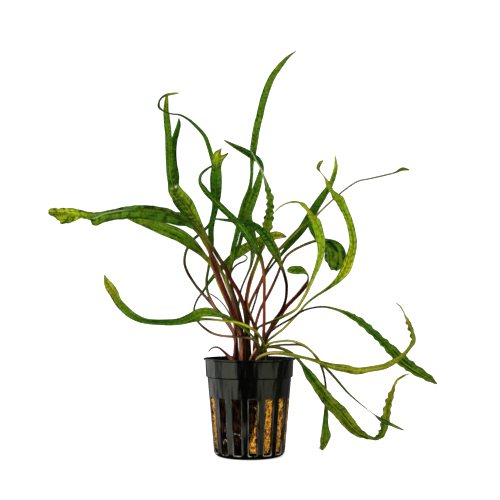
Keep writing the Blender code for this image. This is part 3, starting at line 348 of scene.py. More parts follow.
PLANT["leaf_centre_arch"] = dict(
    root=(6.4, 0.8), turns=[(9, 0), (20, 25)], blade_from=9.5,
    tissue=[(-2, "dark_brown"), (0, "rust_brown"), (1, "red_brown"), (1.9, "crimson"), (2.6, "near_black"),
            (8.5, "near_black"), (10, "olive"), (12, "leaf_green"), (14, "dark_green"), (16, "deep_green"),
            (18, "black_green"), (20, "dark_green")],
    rib=[(9, "black_brown"), (11, "dark_brown"), (14, "black_green"), (20, "dark_green")], rib_share=0.85,
    rib_width=0.6, flanks=("near_black", "dark_crimson"), dome_tone=1.3, sides=[(9, 0.15, -0.3)], fold=-0.3,
    waves=[(0, 0.35, 4.5)], puckers=[(0, 0.42, 3.0)], shift=[(9.5, -0.35), (12, -0.4), (15, -0.3), (17, 0)],
    rows=[(8.9, 68.5, 1, 1.8), (11.8, 73.5, 1.5, 1.8), (14.1, 78, 2, 1.9), (16.9, 81.5, 1.5, 1.9),
          (19.2, 85.5, 0, 1.8), (20.6, 89.5, -2, 1.7), (21.2, 94, -5, 1.7), (21.2, 98.5, -7, 1.8),
          (20.4, 102.5, -9, 1.9), (19.2, 106.5, -11, 2), (17.5, 110.5, -13, 2.6), (15.2, 116, -16, 5),
          (12.9, 120, -18, 5.7), (10.6, 124, -19, 5.2), (7.8, 127.5, -20, 4.5), (4.3, 131, -21, 4),
          (0.3, 133.5, -21, 3), (-5.4, 134.5, -20, 2.3), (-11.1, 135, -18, 1.9), (-15.7, 135.5, -16, 1.4),
          (-20.2, 136, -14, 0.9)],
)
PLANT["leaf_tallest"] = dict(
    root=(-4.9, -1.4), turns=[(8, 0), (26, 15)], blade_from=7,
    tissue=[(-2, "pink_tan"), (1.5, "red_brown"), (3, "tan"), (4.5, "light_olive"), (6, "light_green"),
            (8, "dark_green"), (11, "leaf_green"), (14, "leaf_green"), (17, "leaf_green"),
            (20, "leaf_green"), (24, "fresh_green"), (26, "dark_olive")],
    rib=[(5, "light_olive"), (9, "deep_green"), (15, "dark_green"), (19, "light_green"),
         (26, "bright_green")], rib_share=0.6, flanks=("brown", "gold_olive"), mottle=1.1,
    sides=[(8, -0.3, 0.1), (18, -0.1, 0.1)], waves=[(0, 0.3, 8)],
    puckers=[(0, 0.3, 3.0), (17, 0.35, 3.2), (26, 0.2, 3)],
    rows=[(-5.1, 66.5, -1.5, 2), (-5.7, 75.5, -1.5, 2), (-7.4, 82.5, -1.5, 2), (-9.4, 89.5, -1, 2.2),
          (-11.7, 96.5, -0.5, 2.2), (-13.1, 102, 0.5, 2.3), (-12.5, 106.5, 1, 2.3), (-10.5, 111.5, 1.5, 2.3),
          (-9.4, 118, 2, 2.9), (-7.7, 125, 3, 3), (-6, 132, 4, 3.4), (-4.5, 138, 5.5, 4),
          (-2, 147, 6.5, 3.4), (0, 152.5, 7.5, 2.6), (1.2, 159.5, 8.5, 2), (1.5, 168, 9, 2.4),
          (2.3, 175.5, 9.5, 4), (3.2, 182, 10, 4.3), (4.3, 188.5, 11, 4.3), (6.1, 195.5, 13, 4.3),
          (7.5, 202, 14, 4.3), (9.5, 208.5, 16, 4.3), (11.8, 214.5, 17, 4), (14.6, 219.5, 19, 3.7),
          (18.1, 224, 20, 3.2), (22.1, 228.5, 22, 1.8), (26.7, 232, 23, 0.6)],
)
PLANT["leaf_bent_dark"] = dict(
    root=(-4.6, 3.6), blade_from=6,
    tissue=[(-2, "dark_brown"), (0, "dark_olive"), (5, "dark_olive"), (7, "grey_green"), (9, "dark_green"),
            (12, "leaf_green"), (14.5, "leaf_green"), (15.6, "deep_green"), (18, "deep_green"),
            (20, "olive_green")],
    rib=[(8, "leaf_green"), (14, "fresh_green"), (16, "black_green"), (20, "black_green")],
    flanks=("near_black", "grey_green"), sides=[(8, 0.1, -0.2)], fold=0.35, puckers=[(0, 0.32, 3.0)],
    rows=[(-5.5, 69.5, 3.2, 1.2), (-6.5, 78, 3.5, 1.2), (-6, 88.5, 3.2, 1.2), (-4.8, 95.5, 3, 1.2),
          (-3.1, 100, 3, 1.2), (-1.1, 104.5, 3, 1.2), (0.6, 108.5, 3, 1.6), (1.5, 112.5, 3, 2.2),
          (2.1, 117.5, 3, 3.2), (2.1, 124, 2.5, 4), (0.3, 131, 2, 5.2), (-1.1, 138, 2, 5.2),
          (1.2, 145.5, 2.5, 5.2), (4.1, 153.5, 3, 4.6), (6.1, 160.5, 3.5, 3.4), (7.1, 165.3, 4, 2.6),
          (5.6, 169, 5, 3.2), (2.3, 171.5, 5, 4), (-2.5, 174.5, 4, 3.7), (-8.2, 177.5, 2, 2.6),
          (-14.5, 181, 0, 0.8)],
)
PLANT["leaf_wavy"] = dict(
    root=(4.3, -0.5), blade_from=6.5,
    tissue=[(-2, "dark_crimson"), (2, "crimson"), (4.4, "crimson"), (5.6, "dark_olive"), (8, "olive_green"),
            (13, "leaf_green"), (14.5, "grey_green"), (15.5, "silver_green"), (18, "silver_green")],
    rib=[(2, "brown"), (6, "olive"), (9, "fresh_green"), (13, "light_green"), (15, "silver_green")],
    rib_share=0.55, flanks=("gold_olive", "crimson"), dome_tone=1.7, fold=0.35, ripple=0.45,
    waves=[(0, 0.6, 4.2)], puckers=[(0, 0.42, 3.2)],
    rows=[(3.8, 70.5, -0.4, 2), (2.1, 76.5, -1, 2), (0.3, 81, -1.5, 2), (-1.4, 85, -1.5, 2.2),
          (-0.8, 95.5, -1.5, 2.4), (1.5, 104, -1, 2.4), (3.8, 110, -0.5, 2.2), (6.1, 117, 0, 2.6),
          (8.4, 124, 0, 4.3), (10.1, 131, 0, 5.7), (11.2, 137, 0, 5.3), (11.8, 142, -0.5, 4.3),
          (11.8, 148, -1, 4), (10.6, 152.5, -1, 3.2), (9.5, 156.5, -1, 2.2), (8.4, 160, -1, 1.3),
          (6.6, 164.5, -1, 1), (3.8, 169.5, -1, 0.8), (0.9, 175, -1, 0.6)],
)
PLANT["leaf_narrow_dark"] = dict(
    root=(-2.2, 6.0), blade_from=4,
    tissue=[(-2, "black_brown"), (2, "dark_olive"), (6, "dark_green"), (10, "deep_green")],
    rib=[(4, "dark_green"), (10, "dark_green")], rib_share=0.4, flanks=("black_brown", "dark_olive"),
    fold=0.25, waves=[(0, 0.15, 6)], puckers=[(0, 0.1, 2.4)],
    rows=[(-3.5, 69.5, 6, 1.2), (-5.4, 79.5, 6, 1.2), (-8.2, 89.5, 5.5, 1.2), (-10.5, 98, 5.5, 1.2),
          (-10.8, 106, 5, 1.4), (-9.4, 112, 5, 1.6), (-7.4, 117.5, 6, 2), (-5.7, 121.5, 7, 2.2),
          (-4.5, 126, 8, 2.3), (-3.1, 131.5, 9, 1.8), (-1.5, 135.5, 10, 0.8)],
)
PLANT["leaf_orange_tip"] = dict(
    root=(3.6, -6.8), turns=[(9, 0), (21, 25)], blade_from=9.5,
    tissue=[(-2, "dark_brown"), (0, "dark_brown"), (1, "tan"), (2, "dark_brown"), (2.6, "brown"),
            (3.4, "tan"), (5, "tan"), (6.2, "grey_brown"), (7, "dark_brown"), (8.5, "black_green"),
            (10.5, "dark_green"), (13, "leaf_green"), (15, "bright_green"), (18, "light_green"),
            (19.6, "yellow_green"), (20.4, "gold_olive"), (21, "brown")],
    rib=[(10, "leaf_green"), (15, "light_green"), (18.6, "light_green"), (19.5, "orange_brown"),
         (20.3, "orange_brown"), (21, "brown")], flanks=("black_brown", "grey_brown"), mottle=1.2, fold=0.35,
    waves=[(0, 0.4, 6)], puckers=[(0, 0.28, 3.0)],
    rows=[(4.3, 65, -6.2, 1.5), (0.9, 67.5, -6.8, 1.5), (-3.7, 68.5, -7.2, 1.5), (-11.1, 68.7, -6.5, 1.5),
          (-16.8, 69.3, -6, 1.5), (-21.4, 70.7, -5, 1.5), (-25.4, 73.3, -4, 1.5), (-30, 78, -1.5, 1.3),
          (-31.7, 84, 3, 1.2), (-30, 89.5, 6, 1.2), (-26.5, 94.5, 8.5, 1.3), (-22.5, 100.5, 10, 2),
          (-17.4, 106.5, 11, 2.9), (-14, 110, 11, 3.6), (-10, 113.5, 11, 4.6), (-5.4, 117, 11, 5.5),
          (-0.8, 120, 10, 5.5), (3.2, 122, 9, 5.2), (7.2, 124, 9, 5), (11.8, 125.5, 8, 4.8),
          (16.4, 126.5, 6, 4.4), (21.2, 125.7, 5, 0.9)],
)
PLANT["leaf_lower_left"] = dict(
    root=(5.4, -9.4), turns=[(5, 8), (19, 30)], blade_from=4.5,
    tissue=[(-2, "near_black"), (-0.3, "black_brown"), (0.4, "dark_olive"), (1, "deep_green"),
            (3.5, "dark_green"), (5, "leaf_green"), (7.5, "fresh_green"), (9, "leaf_green"),
            (11, "dark_green"), (14, "leaf_green"), (16, "olive_green"), (18, "light_olive"),
            (19, "light_green")],
    rib=[(4, "bright_green"), (8, "deep_green"), (14, "deep_green"), (17, "olive_green"),
         (19, "light_olive")], rib_share=0.55, flanks=("dark_green", "light_olive"), vein_depth=0.5,
    waves=[(0, 0.25, 12)], puckers=[(0, 0.12, 3.4), (16, 0.2, 2.6)],
    lobes=[(16.4, 1, 1), (17, 1.0, 1.22), (18.2, 1.05, 1.3), (19, 1, 1)],
    rows=[(5.2, 64.5, -9.2, 1.3), (2.6, 68, -9.4, 1.3), (-0.2, 70.7, -9.6, 1.4), (-3.7, 74, -9.8, 1.5),
          (-7.7, 77, -10, 1.7), (-12.2, 79.5, -10, 2.2), (-17.4, 81.3, -10, 3.2), (-22.5, 82.7, -10.5, 5),
          (-28.3, 82.4, -11, 5), (-34, 79.6, -12, 4.8), (-39.7, 77.7, -12.5, 3.6), (-48.3, 77, -14, 3.3),
          (-57, 77.3, -16, 3.1), (-62, 78.4, -18, 3.4), (-66.6, 80.7, -19, 4.2), (-71.7, 85, -20, 4.2),
          (-75.2, 89, -21, 4.4), (-77.5, 93.5, -22, 4.5), (-80.3, 97.5, -23, 4.2), (-82.9, 104, -25, 0.8)],
)
PLANT["leaf_yellow_petiole"] = dict(
    root=(7.7, -9.3), turns=[(7, 0), (12, 10)], blade_from=7.5,
    tissue=[(-2, "black_brown"), (-0.2, "black_brown"), (0.4, "dark_olive"), (1, "brown_olive"),
            (1.6, "olive"), (2.2, "gold_olive"), (2.8, "orange_brown"), (3.5, "gold_olive"),
            (4, "gold_olive"), (5.6, "light_green"), (6.8, "light_olive"), (8.5, "fresh_green"),
            (10, "deep_green"), (12, "deep_green")],
    rib=[(7, "bright_green"), (12, "leaf_green")], rib_share=0.4, flanks=("light_olive", "light_olive"),
    fold=0.25, waves=[(0, 0.2, 9)], puckers=[(0, 0.1, 2.8)],
    rows=[(8.5, 62.5, -10.3, 1.4), (7.4, 66, -11, 1.5), (4.9, 70.2, -12, 1.6), (2.1, 72.7, -12.5, 1.6),
          (-2.5, 75.2, -12.5, 1.6), (-8.2, 77, -12.8, 1.5), (-14, 77.6, -12.5, 1.4), (-20, 78.3, -10.5, 1.4),
          (-25.4, 78.7, -8.5, 1.6), (-31.1, 78.4, -7.5, 2.6), (-39.7, 77, -8, 3.2), (-48.3, 76.5, -9.5, 2.8),
          (-57, 77, -12, 1)],
)
PLANT["leaf_right_upper"] = dict(
    root=(0.9, 5.2), turns=[(6, 0), (16, 15)], blade_from=6,
    tissue=[(-2, "black_brown"), (1, "dark_olive"), (5, "deep_green"), (8, "deep_green"), (11, "dark_green"),
            (13, "fresh_green"), (14.5, "light_green"), (16, "yellow_green")],
    rib=[(7, "dark_green"), (12, "leaf_green"), (16, "yellow_green")], rib_share=0.4,
    flanks=("black_brown", "dark_olive"), sides=[(8, -0.1, 0.1)], waves=[(0, 0.25, 9)],
    puckers=[(0, 0.14, 2.8)],
    rows=[(0, 69.5, 5.5, 1.2), (-0.2, 77.5, 6, 1.2), (1.5, 83.5, 7, 1.2), (3.2, 88.5, 8, 1.2),
          (5.5, 96.5, 10, 1.2), (8.9, 103.5, 12, 1.3), (14.6, 111.5, 15, 1.5), (18.1, 115.5, 17, 1.9),
          (23.5, 122, 20, 3.2), (29.2, 129, 23, 4.5), (34.1, 136.5, 26, 5.2), (38.7, 144, 29, 5),
          (42.7, 150, 31, 4.2), (46.1, 155, 32, 3.2), (48.4, 161, 34, 2.9), (49.5, 166, 35, 2.3),
          (49, 172, 36, 0.8)],
)
PLANT["leaf_far_right_thin"] = dict(
    root=(-0.6, 1.8), blade_from=6.5,
    tissue=[(-2, "red_brown"), (2, "rust_brown"), (4.5, "red_brown"), (6.3, "brown_olive"),
            (7.5, "olive_green"), (9.5, "leaf_green"), (10.6, "brown_olive"), (13, "grey_brown"),
            (17.5, "grey_green"), (18.8, "olive_green")],
    rib=[(6, "light_olive"), (8, "gold_olive"), (10.5, "gold_olive"), (13, "grey_brown"),
         (20, "olive_green")], rib_share=0.75, flanks=("dark_brown", "brown"),
    sides=[(7, -0.7, -0.1), (10, -0.7, 0.1), (11, 0, 0)], fold=0.35, waves=[(0, 0.15, 5)],
    puckers=[(0, 0.1, 2.6)],
    rows=[(-0.7, 72.5, 1.8, 1.6), (-0.8, 84, 2, 1.8), (2.1, 91.5, 3, 1.8), (5.5, 98, 4.5, 1.7),
          (8.4, 104.5, 6, 1.6), (12.4, 112, 8, 1.6), (16.6, 118, 10, 1.8), (20.4, 121.5, 12, 2.6),
          (24.9, 126, 14, 3), (30, 131, 16, 3.1), (35.2, 135, 18, 2.6), (39.8, 139.5, 20, 1.3),
          (45, 144.5, 23, 1.1), (50.7, 149.5, 26, 1), (56.4, 154, 30, 1), (62.1, 157.5, 34, 1),
          (69, 159, 39, 1), (77.6, 161, 45, 1.1), (83.3, 162.5, 49, 1.2), (87.8, 164.5, 52, 2.3),
          (91.5, 164, 54, 0.8)],
)
PLANT["leaf_yellow_s"] = dict(
    root=(2.4, 2.4), turns=[(7, 0), (20, 25)], blade_from=6.5,
    tissue=[(-2, "dark_olive"), (1, "dark_green"), (3, "dark_olive"), (4.2, "olive_green"),
            (5.2, "gold_olive"), (6.5, "gold_olive"), (8, "light_green"), (11, "light_green"),
            (12.5, "bright_green"), (14.5, "light_olive"), (17, "yellow_green"), (20, "light_olive")],
    rib=[(6, "gold_olive"), (9, "lime"), (12, "yellow_green"), (14, "light_green"), (17, "light_olive"),
         (20, "gold_olive")], rib_share=0.6, flanks=("dark_green", "gold_olive"), vein_depth=0.5, mottle=0.7,
    ticks=0.5, sides=[(8, 0.1, -0.3), (12, -0.2, 0.1), (15, 0, 0)], marks=[(7.8, 0.2, 0.9, -1.1)],
    waves=[(0, 0.35, 9), (12, 0.7, 7)], puckers=[(0, 0.14, 4), (11, 0.3, 3.6)],
    lobes=[(12.5, 1, 1), (13.3, 0.9, 1.2), (14.2, 1.1, 0.7), (15, 0.7, 0.75), (15.8, 1.25, 1.2),
           (16.6, 0.7, 0.8), (17.4, 1.2, 1.1), (18.2, 0.8, 0.9), (19, 1, 1)],
    rows=[(3.2, 68, 2.3, 1.4), (4.6, 73.3, 2, 1.4), (10.6, 76.5, 0, 1.5), (14.6, 78, -1.5, 1.6),
          (20.9, 81, -3, 1.7), (26.7, 84.5, -4, 1.7), (30.1, 89.5, -5, 1.8), (34.1, 97, -6, 2),
          (37, 104, -7.5, 2.4), (39.2, 109.5, -9, 3.2), (41, 117, -11, 4), (41, 122.5, -12, 4.9),
          (39.8, 128.5, -13, 5.2), (38.1, 133.5, -14, 5.2), (35.8, 137.5, -15, 4), (33.2, 141.5, -16, 3),
          (30.1, 144.5, -17, 2), (26.9, 145.7, -18, 1.3), (22.6, 145.3, -19, 1.1), (18.1, 143.3, -20, 0.9),
          (14.6, 140.2, -21, 0.6)],
)
PLANT["leaf_right_yellow"] = dict(
    root=(9.2, 2.0), turns=[(8, 0), (22, 18)], blade_from=8,
    tissue=[(-2, "light_olive"), (0, "gold_olive"), (3, "gold_olive"), (5, "olive_green"),
            (7, "fresh_green"), (9, "light_green"), (10.4, "lime"), (12, "yellow_green"),
            (13.5, "light_green"), (16, "bright_green"), (18, "light_olive"), (20, "olive_green"),
            (21, "light_olive")],
    rib=[(7, "light_green"), (10, "lime"), (14, "yellow_green"), (22, "gold_olive")], rib_share=0.35,
    flanks=("olive", "gold_olive"), vein_depth=0.45, mottle=0.35, ticks=0.15, sides=[(8, 0.1, -0.1)],
    waves=[(0, 0.3, 12), (14, 0.7, 6)], puckers=[(0, 0.12, 3.4), (14, 0.35, 3.2)],
    lobes=[(13, 1, 1), (14.2, 1.1, 0.9), (15, 0.85, 1.1), (15.6, 1.2, 1), (16.3, 0.8, 0.75), (17, 1.25, 1.2),
           (18, 1, 1)],
    rows=[(10.4, 66, 2.2, 1.4), (14.6, 69.5, 2.5, 1.4), (19.2, 73, 3, 1.4), (23.2, 77, 3, 1.4),
          (28.9, 83.3, 3, 1.4), (31.8, 86.7, 3, 1.4), (37.5, 91.5, 3, 1.5), (42.1, 94.5, 3, 1.7),
          (46.4, 97.5, 2, 2.4), (51, 101.5, 1, 3.8), (54.7, 106.5, 0, 5.6), (57.5, 113.5, 0, 5.2),
          (59.3, 121, 0, 4.5), (58.1, 131, 1, 4.2), (55.2, 140, 2, 4.3), (51.2, 147, 3, 5.2),
          (47.8, 151, 3, 3.2), (45.3, 155.5, 3, 2.6), (43.2, 159.5, 3, 1), (40.4, 163, 3, 0.8),
          (39.3, 165, 3, 2), (40.2, 167.5, 3, 2.2), (42.3, 169.5, 3, 0.7)],
)
PLANT["leaf_crumpled"] = dict(
    root=(3.8, -3.4), blade_from=12,
    tissue=[(-2, "red_brown"), (5, "red_brown"), (8, "brown"), (10, "olive"), (11.3, "brown_olive"),
            (12.3, "leaf_green"), (13.6, "leaf_green"), (15, "leaf_green"), (16.2, "fresh_green"),
            (18, "dark_green")],
    rib=[(11, "brown_olive"), (13, "black_green"), (18, "black_green")], rib_share=0.3,
    flanks=("dark_crimson", "brown"), gloss=0.2, dome_tone=1.5,
    sides=[(12, 0, 0), (13.5, -0.3, 0), (14.6, -0.8, 0), (16, -0.6, 0.1), (18, -0.4, 0)],
    marks=[(14.7, -0.1, 0.9, 0.4), (15.5, 0.05, 1, 0.35), (16.6, -0.1, 1.2, 0.35), (14.1, 0.15, 0.8, -0.7)],
    fold=-0.1, crumple=1.3, waves=[(0, 0.7, 6)], puckers=[(0, 0.8, 4.6)],
    creases=[(13.6, 18, 0.34, 0.6, 2.4), (13, 17.5, -0.9, 1.4, 0.6), (12.6, 16.5, 0.95, 1.3, 0.6)],
    lobes=[(13, 1, 1), (14.6, 1.12, 0.92), (16, 1.08, 1.0), (16.8, 1, 0.9), (18, 1, 1)],
    rows=[(3.4, 70.5, -3.3, 1.6), (3.8, 76.5, -3.5, 1.7), (4.9, 80.5, -3.5, 1.8), (6.3, 84.5, -3, 1.8),
          (10.1, 91.5, -2, 1.8), (12.9, 97, 0, 1.7), (15.8, 103.5, 2, 1.6), (18.6, 110.5, 4, 1.6),
          (20.9, 114.5, 5, 1.6), (24.4, 117.5, 6, 1.6), (28.9, 120, 6, 1.6), (33.5, 122, 6, 1.7),
          (38.7, 123.5, 5.5, 2), (42.7, 123.3, 5, 3.4), (45.7, 121, 4.5, 8), (48, 117.5, 4.5, 11.5),
          (48.9, 113, 5.5, 12), (48.7, 109, 7, 8.5), (48.2, 106.6, 8, 3)],
)
PLANT["leaf_behind_s"] = dict(
    root=(3.9, 5.4), blade_from=8.5,
    tissue=[(-2, "dark_olive"), (6, "deep_green"), (13, "deep_green"), (16, "dark_green")],
    rib=[(8, "dark_green"), (16, "dark_green")], rib_share=0.35, flanks=("black_green", "dark_olive"),
    fold=0.25, waves=[(0, 0.4, 5)], puckers=[(0, 0.3, 3)],
    rows=[(3.2, 68, 6, 1.1), (4.6, 73.3, 6.8, 1.1), (10.6, 76.5, 7.2, 1.1), (14.6, 78, 7.6, 1.1),
          (20.9, 81, 7.5, 1.2), (26.7, 84.5, 6.5, 1.2), (30.1, 89.5, 5, 1.2), (34.1, 97, 2, 1.2),
          (37, 104, 0, 1.3), (39.2, 109.5, -2, 1.6), (40.9, 115, -3, 2), (41.2, 119, -4, 2.6),
          (40.4, 122.5, -4, 3.4), (38.8, 126, -3, 4.4), (37, 129.5, -2, 5), (35.5, 132.5, -1, 4.2),
          (34.5, 135.5, 0, 1.5)],
)
PLANT["leaf_small_lens"] = dict(
    root=(6.4, 4.6), turns=[(9, 0), (13, 30)], blade_from=9.3,
    tissue=[(-2, "brown"), (0, "rust_brown"), (2, "rust_brown"), (3.4, "crimson"), (4.6, "dark_crimson"),
            (6.4, "near_black"), (8.5, "dark_brown"), (9.2, "fresh_green"), (11, "leaf_green"),
            (13, "fresh_green")],
    rib=[(9, "dark_green"), (11, "deep_green"), (13, "dark_green")], rib_share=0.6,
    flanks=("dark_crimson", "rust_brown"), vein_depth=0.5, sides=[(9, -0.2, 0.1)], fold=0.35,
    waves=[(0, 0.3, 5)], puckers=[(0, 0.25, 2.8)],
    rows=[(9.5, 67.5, 4.2, 2.2), (11.9, 72, 4.2, 2.2), (14.8, 76.5, 4.5, 2.4), (17.7, 81, 4, 2.4),
          (20.9, 85.5, 3, 2.3), (24.6, 89.5, 0, 2.3), (28.9, 94, -3, 2.4), (32.3, 98.5, -3.8, 2.3),
          (33.5, 101, -5, 1.2), (33.4, 103.5, -7, 1), (32, 105.3, -9, 2), (29, 106.7, -10.5, 4.6),
          (24.5, 107, -11, 4.4), (22, 107, -13, 2.6)],
)
PLANT["leaf_right_arch"] = dict(
    root=(10.6, 0.0), turns=[(6, 0), (16, 30)], blade_from=6,
    tissue=[(-2, "dark_brown"), (2, "black_brown"), (4.8, "dark_brown"), (6.3, "olive_green"),
            (8, "leaf_green"), (10, "dark_green"), (13, "leaf_green"), (15.2, "leaf_green"),
            (15.7, "olive_green"), (16, "brown_olive")],
    rib=[(6, "leaf_green"), (8, "dark_green"), (11, "deep_green"), (12.2, "yellow_green"),
         (15, "gold_olive"), (16, "gold_olive")], rib_share=0.7, flanks=("near_black", "brown_olive"),
    edge="light_olive", edge_share=0.4, vein_depth=0.4, sides=[(6, 0, 0), (9, 0.1, -0.3), (13, 0, 0)],
    fold=0.35, ripple=0.3, waves=[(0, 0.55, 6), (12, 0.2, 6)], puckers=[(0, 0.4, 3.4), (12, 0.15, 3)],
    creases=[(12, 15.6, 0.22, 0.55, 0.6), (12, 15.6, -0.22, 0.55, 0.6), (7.5, 12, -0.05, 0.4, 0.4)],
    rows=[(10.6, 70, -0.6, 1.2), (14.6, 73.5, -2, 1.2), (23.2, 78.7, -4, 1.2), (30.7, 83.5, -5, 1.2),
          (36.4, 85.2, -6.5, 1.2), (41.5, 85.8, -8, 1.3), (46.7, 85.1, -10, 1.4), (51.8, 83.5, -12, 1.8),
          (57.5, 81, -15, 3), (64.4, 76.5, -18, 4), (71.8, 70, -22, 4), (77.6, 64.5, -25, 4.6),
          (83.3, 58.7, -28, 5.7), (89, 53.5, -30, 6.2), (96.5, 48.4, -33, 5.1), (102.2, 45, -35, 4),
          (107.3, 41.5, -37, 0.8)],
)
PLANT["leaf_olive_front"] = dict(
    root=(3.2, -10.6), turns=[(5, 0), (22, 30)], blade_from=5.5,
    tissue=[(-2, "tan"), (0, "pale_straw"), (1, "pale_straw"), (2.5, "gold_olive"), (4, "light_olive"),
            (7, "olive"), (10, "light_olive"), (13, "light_olive"), (18, "olive"), (20, "brown_olive"),
            (22, "grey_brown")],
    rib=[(5, "light_olive"), (8, "gold_olive"), (10, "straw"), (12, "gold_olive"), (14, "light_olive"),
         (22, "gold_olive")], rib_share=0.65, flanks=("light_olive", "pale_straw"), vein_depth=0.6,
    fold=0.35, crinkle=(15.2, 1.0, 4.0), waves=[(0, 0.35, 14)], puckers=[(0, 0.08, 3.4)],
    rows=[(4.9, 56.2, -11.5, 1.8), (7.8, 58, -12.5, 2), (11.8, 59.2, -13.5, 2.3), (17.5, 59.4, -15, 2.3),
          (23.2, 58.5, -17, 2.2), (28.9, 57.2, -19, 1.8), (34.7, 55.8, -21, 1.8), (43.2, 53, -23, 2.6),
          (49, 51.3, -25, 3.6), (54.7, 50.4, -27, 4.3), (61.5, 49, -29, 4), (69, 50, -31, 3.2),
          (77.6, 51.8, -33, 3.2), (83.3, 54.7, -34, 2.9), (87.9, 58, -36, 2.4), (91.9, 62.7, -38, 2),
          (93.9, 66, -39, 2.8), (93.3, 70, -40, 2.6), (92.3, 73.5, -40, 2.8), (90.7, 77.5, -41, 2.3),
          (89, 81, -42, 0.9), (86.7, 85.5, -42, 0.8), (84.1, 88, -43, 0.6)],
)
PLANT["leaf_lower_right"] = dict(
    root=(5.9, -7.0), turns=[(5, 0), (22, 15)], blade_from=4.5,
    tissue=[(-2, "brown_olive"), (2, "brown_olive"), (3.5, "olive"), (6, "dark_green"), (9, "olive_green"),
            (12.5, "olive"), (15, "dark_olive"), (17, "olive_green"), (18.5, "light_olive"),
            (19.5, "light_olive"), (20.7, "brown_olive"), (22, "gold_olive")],
    rib=[(5, "dark_green"), (8.6, "deep_green"), (9.6, "light_green"), (13, "yellow_green"),
         (15, "leaf_green"), (22, "light_olive")], rib_share=0.75, rib_width=0.3,
    flanks=("brown_olive", "brown_olive"), edge="brown_olive", edge_share=0.5, vein_depth=0.4,
    sides=[(6, 0, 0), (10, -0.1, 0.2), (14, -0.1, 0.3), (16, 0, 0)], ripple=0.1, crinkle=(13, 0.6, 4.4),
    waves=[(0, 0.35, 9), (14, 0.7, 5)], puckers=[(0, 0.2, 3.2)],
    creases=[(6.5, 14, 0.15, 0.45, 0.5), (6.5, 14, -0.15, 0.45, 0.5)],
    rows=[(7.2, 60.5, -7.5, 1.6), (9.5, 62.3, -8, 1.6), (13.5, 62.8, -9, 1.8), (19.2, 61.6, -11, 1.8),
          (23.2, 59.8, -12.5, 1.8), (27.4, 56.2, -13.5, 1.8), (30.9, 51.8, -14, 2.3), (33.5, 47.8, -15, 4.6),
          (37.5, 42.5, -16, 5.4), (41.5, 37, -18, 6.3), (46.1, 31, -20, 6.9), (51.8, 25.5, -22, 7.4),
          (57.5, 18.5, -24, 6.9), (62.1, 14, -25, 5.2), (66.7, 11.8, -25, 3.4), (70.7, 10.4, -24, 2),
          (74.7, 11.8, -22, 3.8), (77, 16.5, -20, 4.4), (78.1, 22, -18, 4.8), (79.3, 29.5, -16, 4.2),
          (81, 35, -15, 3.4), (82.7, 40, -14, 1.8), (83.9, 43, -13, 1.6), (86.1, 45, -13, 1.6),
          (91.3, 47.5, -12, 0.6)],
)
PLANT["leaf_hanging_paddle"] = dict(
    root=(7.9, -1.4), blade_from=10,
    tissue=[(-2, "dark_brown"), (1, "grey_brown"), (5, "dark_brown"), (8.5, "dark_brown"),
            (10.3, "dark_olive"), (12, "dark_green"), (14.5, "olive_green"), (17, "olive")],
    rib=[(10, "leaf_green"), (13, "fresh_green"), (17, "leaf_green")], rib_share=0.45,
    flanks=("black_brown", "grey_brown"), sides=[(10, -0.2, 0.1)], waves=[(0, 0.35, 5)],
    puckers=[(0, 0.25, 3)],
    rows=[(10, 62.5, -1.8, 1.3), (14.6, 63.5, -2, 1.3), (23.2, 64.1, -2, 1.3), (30.7, 63.6, -2, 1.4),
          (34.7, 61, -2, 1.4), (38.1, 57, -2, 1.5), (40.4, 53.5, -3, 1.6), (42.1, 49, -4, 1.4),
          (43.2, 44, -5, 1.3), (43.8, 38, -5, 1.4), (43.8, 29.5, -6, 1.7), (43.8, 24, -6, 2.9),
          (43.5, 19.8, -6, 3.2), (43.5, 15.2, -6, 4.6), (43.8, 12.4, -6, 5.6), (42.9, 9.5, -6, 5.1),
          (42.1, 6.1, -6, 3.4), (40.7, 4.1, -6, 2.3)],
)
PLANT["leaf_long_thin_right"] = dict(
    root=(9.4, -5.0), blade_from=9,
    tissue=[(-2, "light_olive"), (0, "gold_olive"), (5, "gold_olive"), (7.5, "olive"), (9.5, "dark_olive"),
            (11.5, "dark_olive"), (13, "slate"), (13.8, "black_green"), (15.5, "black_green"),
            (16.6, "olive_green"), (18, "brown_olive")],
    rib=[(9, "olive_green"), (13, "grey_green"), (18, "fresh_green")], rib_share=0.35,
    flanks=("olive", "gold_olive"), waves=[(0, 0.15, 5)], puckers=[(0, 0.08, 2.6)],
    rows=[(9.6, 63.5, -5.2, 1.4), (12.9, 65.2, -5.2, 1.4), (17.5, 66, -5.2, 1.4), (22.1, 66.4, -5.5, 1.4),
          (26.1, 65.8, -6, 1.4), (31.2, 63.8, -6, 1.4), (34.7, 61, -6.5, 1.5), (37.8, 57.8, -7, 1.5),
          (41.5, 53, -8, 1.5), (45, 49.5, -9, 1.6), (49.5, 44.5, -11, 1.5), (56.4, 36.5, -15, 1.2),
          (64.4, 29.5, -19, 0.75), (71.8, 23.8, -23, 0.75), (74.7, 21.5, -25, 2), (77.9, 19.8, -27, 2.3),
          (81, 18.5, -28, 1.9), (85, 16.6, -30, 1.5), (88.4, 15.2, -31, 0.6)],
)
PLANT["shoot_hook"] = dict(
    root=(-8.6, -5.6),
    tissue=[(-2, "red_brown"), (-0.5, "pink_tan"), (1, "brown"), (2.5, "black_brown"), (6, "grey_brown")],
    rib=[(0, "brown"), (6, "slate")], flanks=("dark_crimson", "pink_tan"),
    rows=[(-10.5, 56, -6, 2.2), (-13.1, 58.5, -6.5, 1.7), (-15.7, 61, -7, 1.2), (-18, 62.5, -7.5, 1.1),
          (-20.2, 62.6, -8, 1), (-22.3, 61.4, -8, 0.9), (-23.4, 59.8, -8, 0.5)],
)
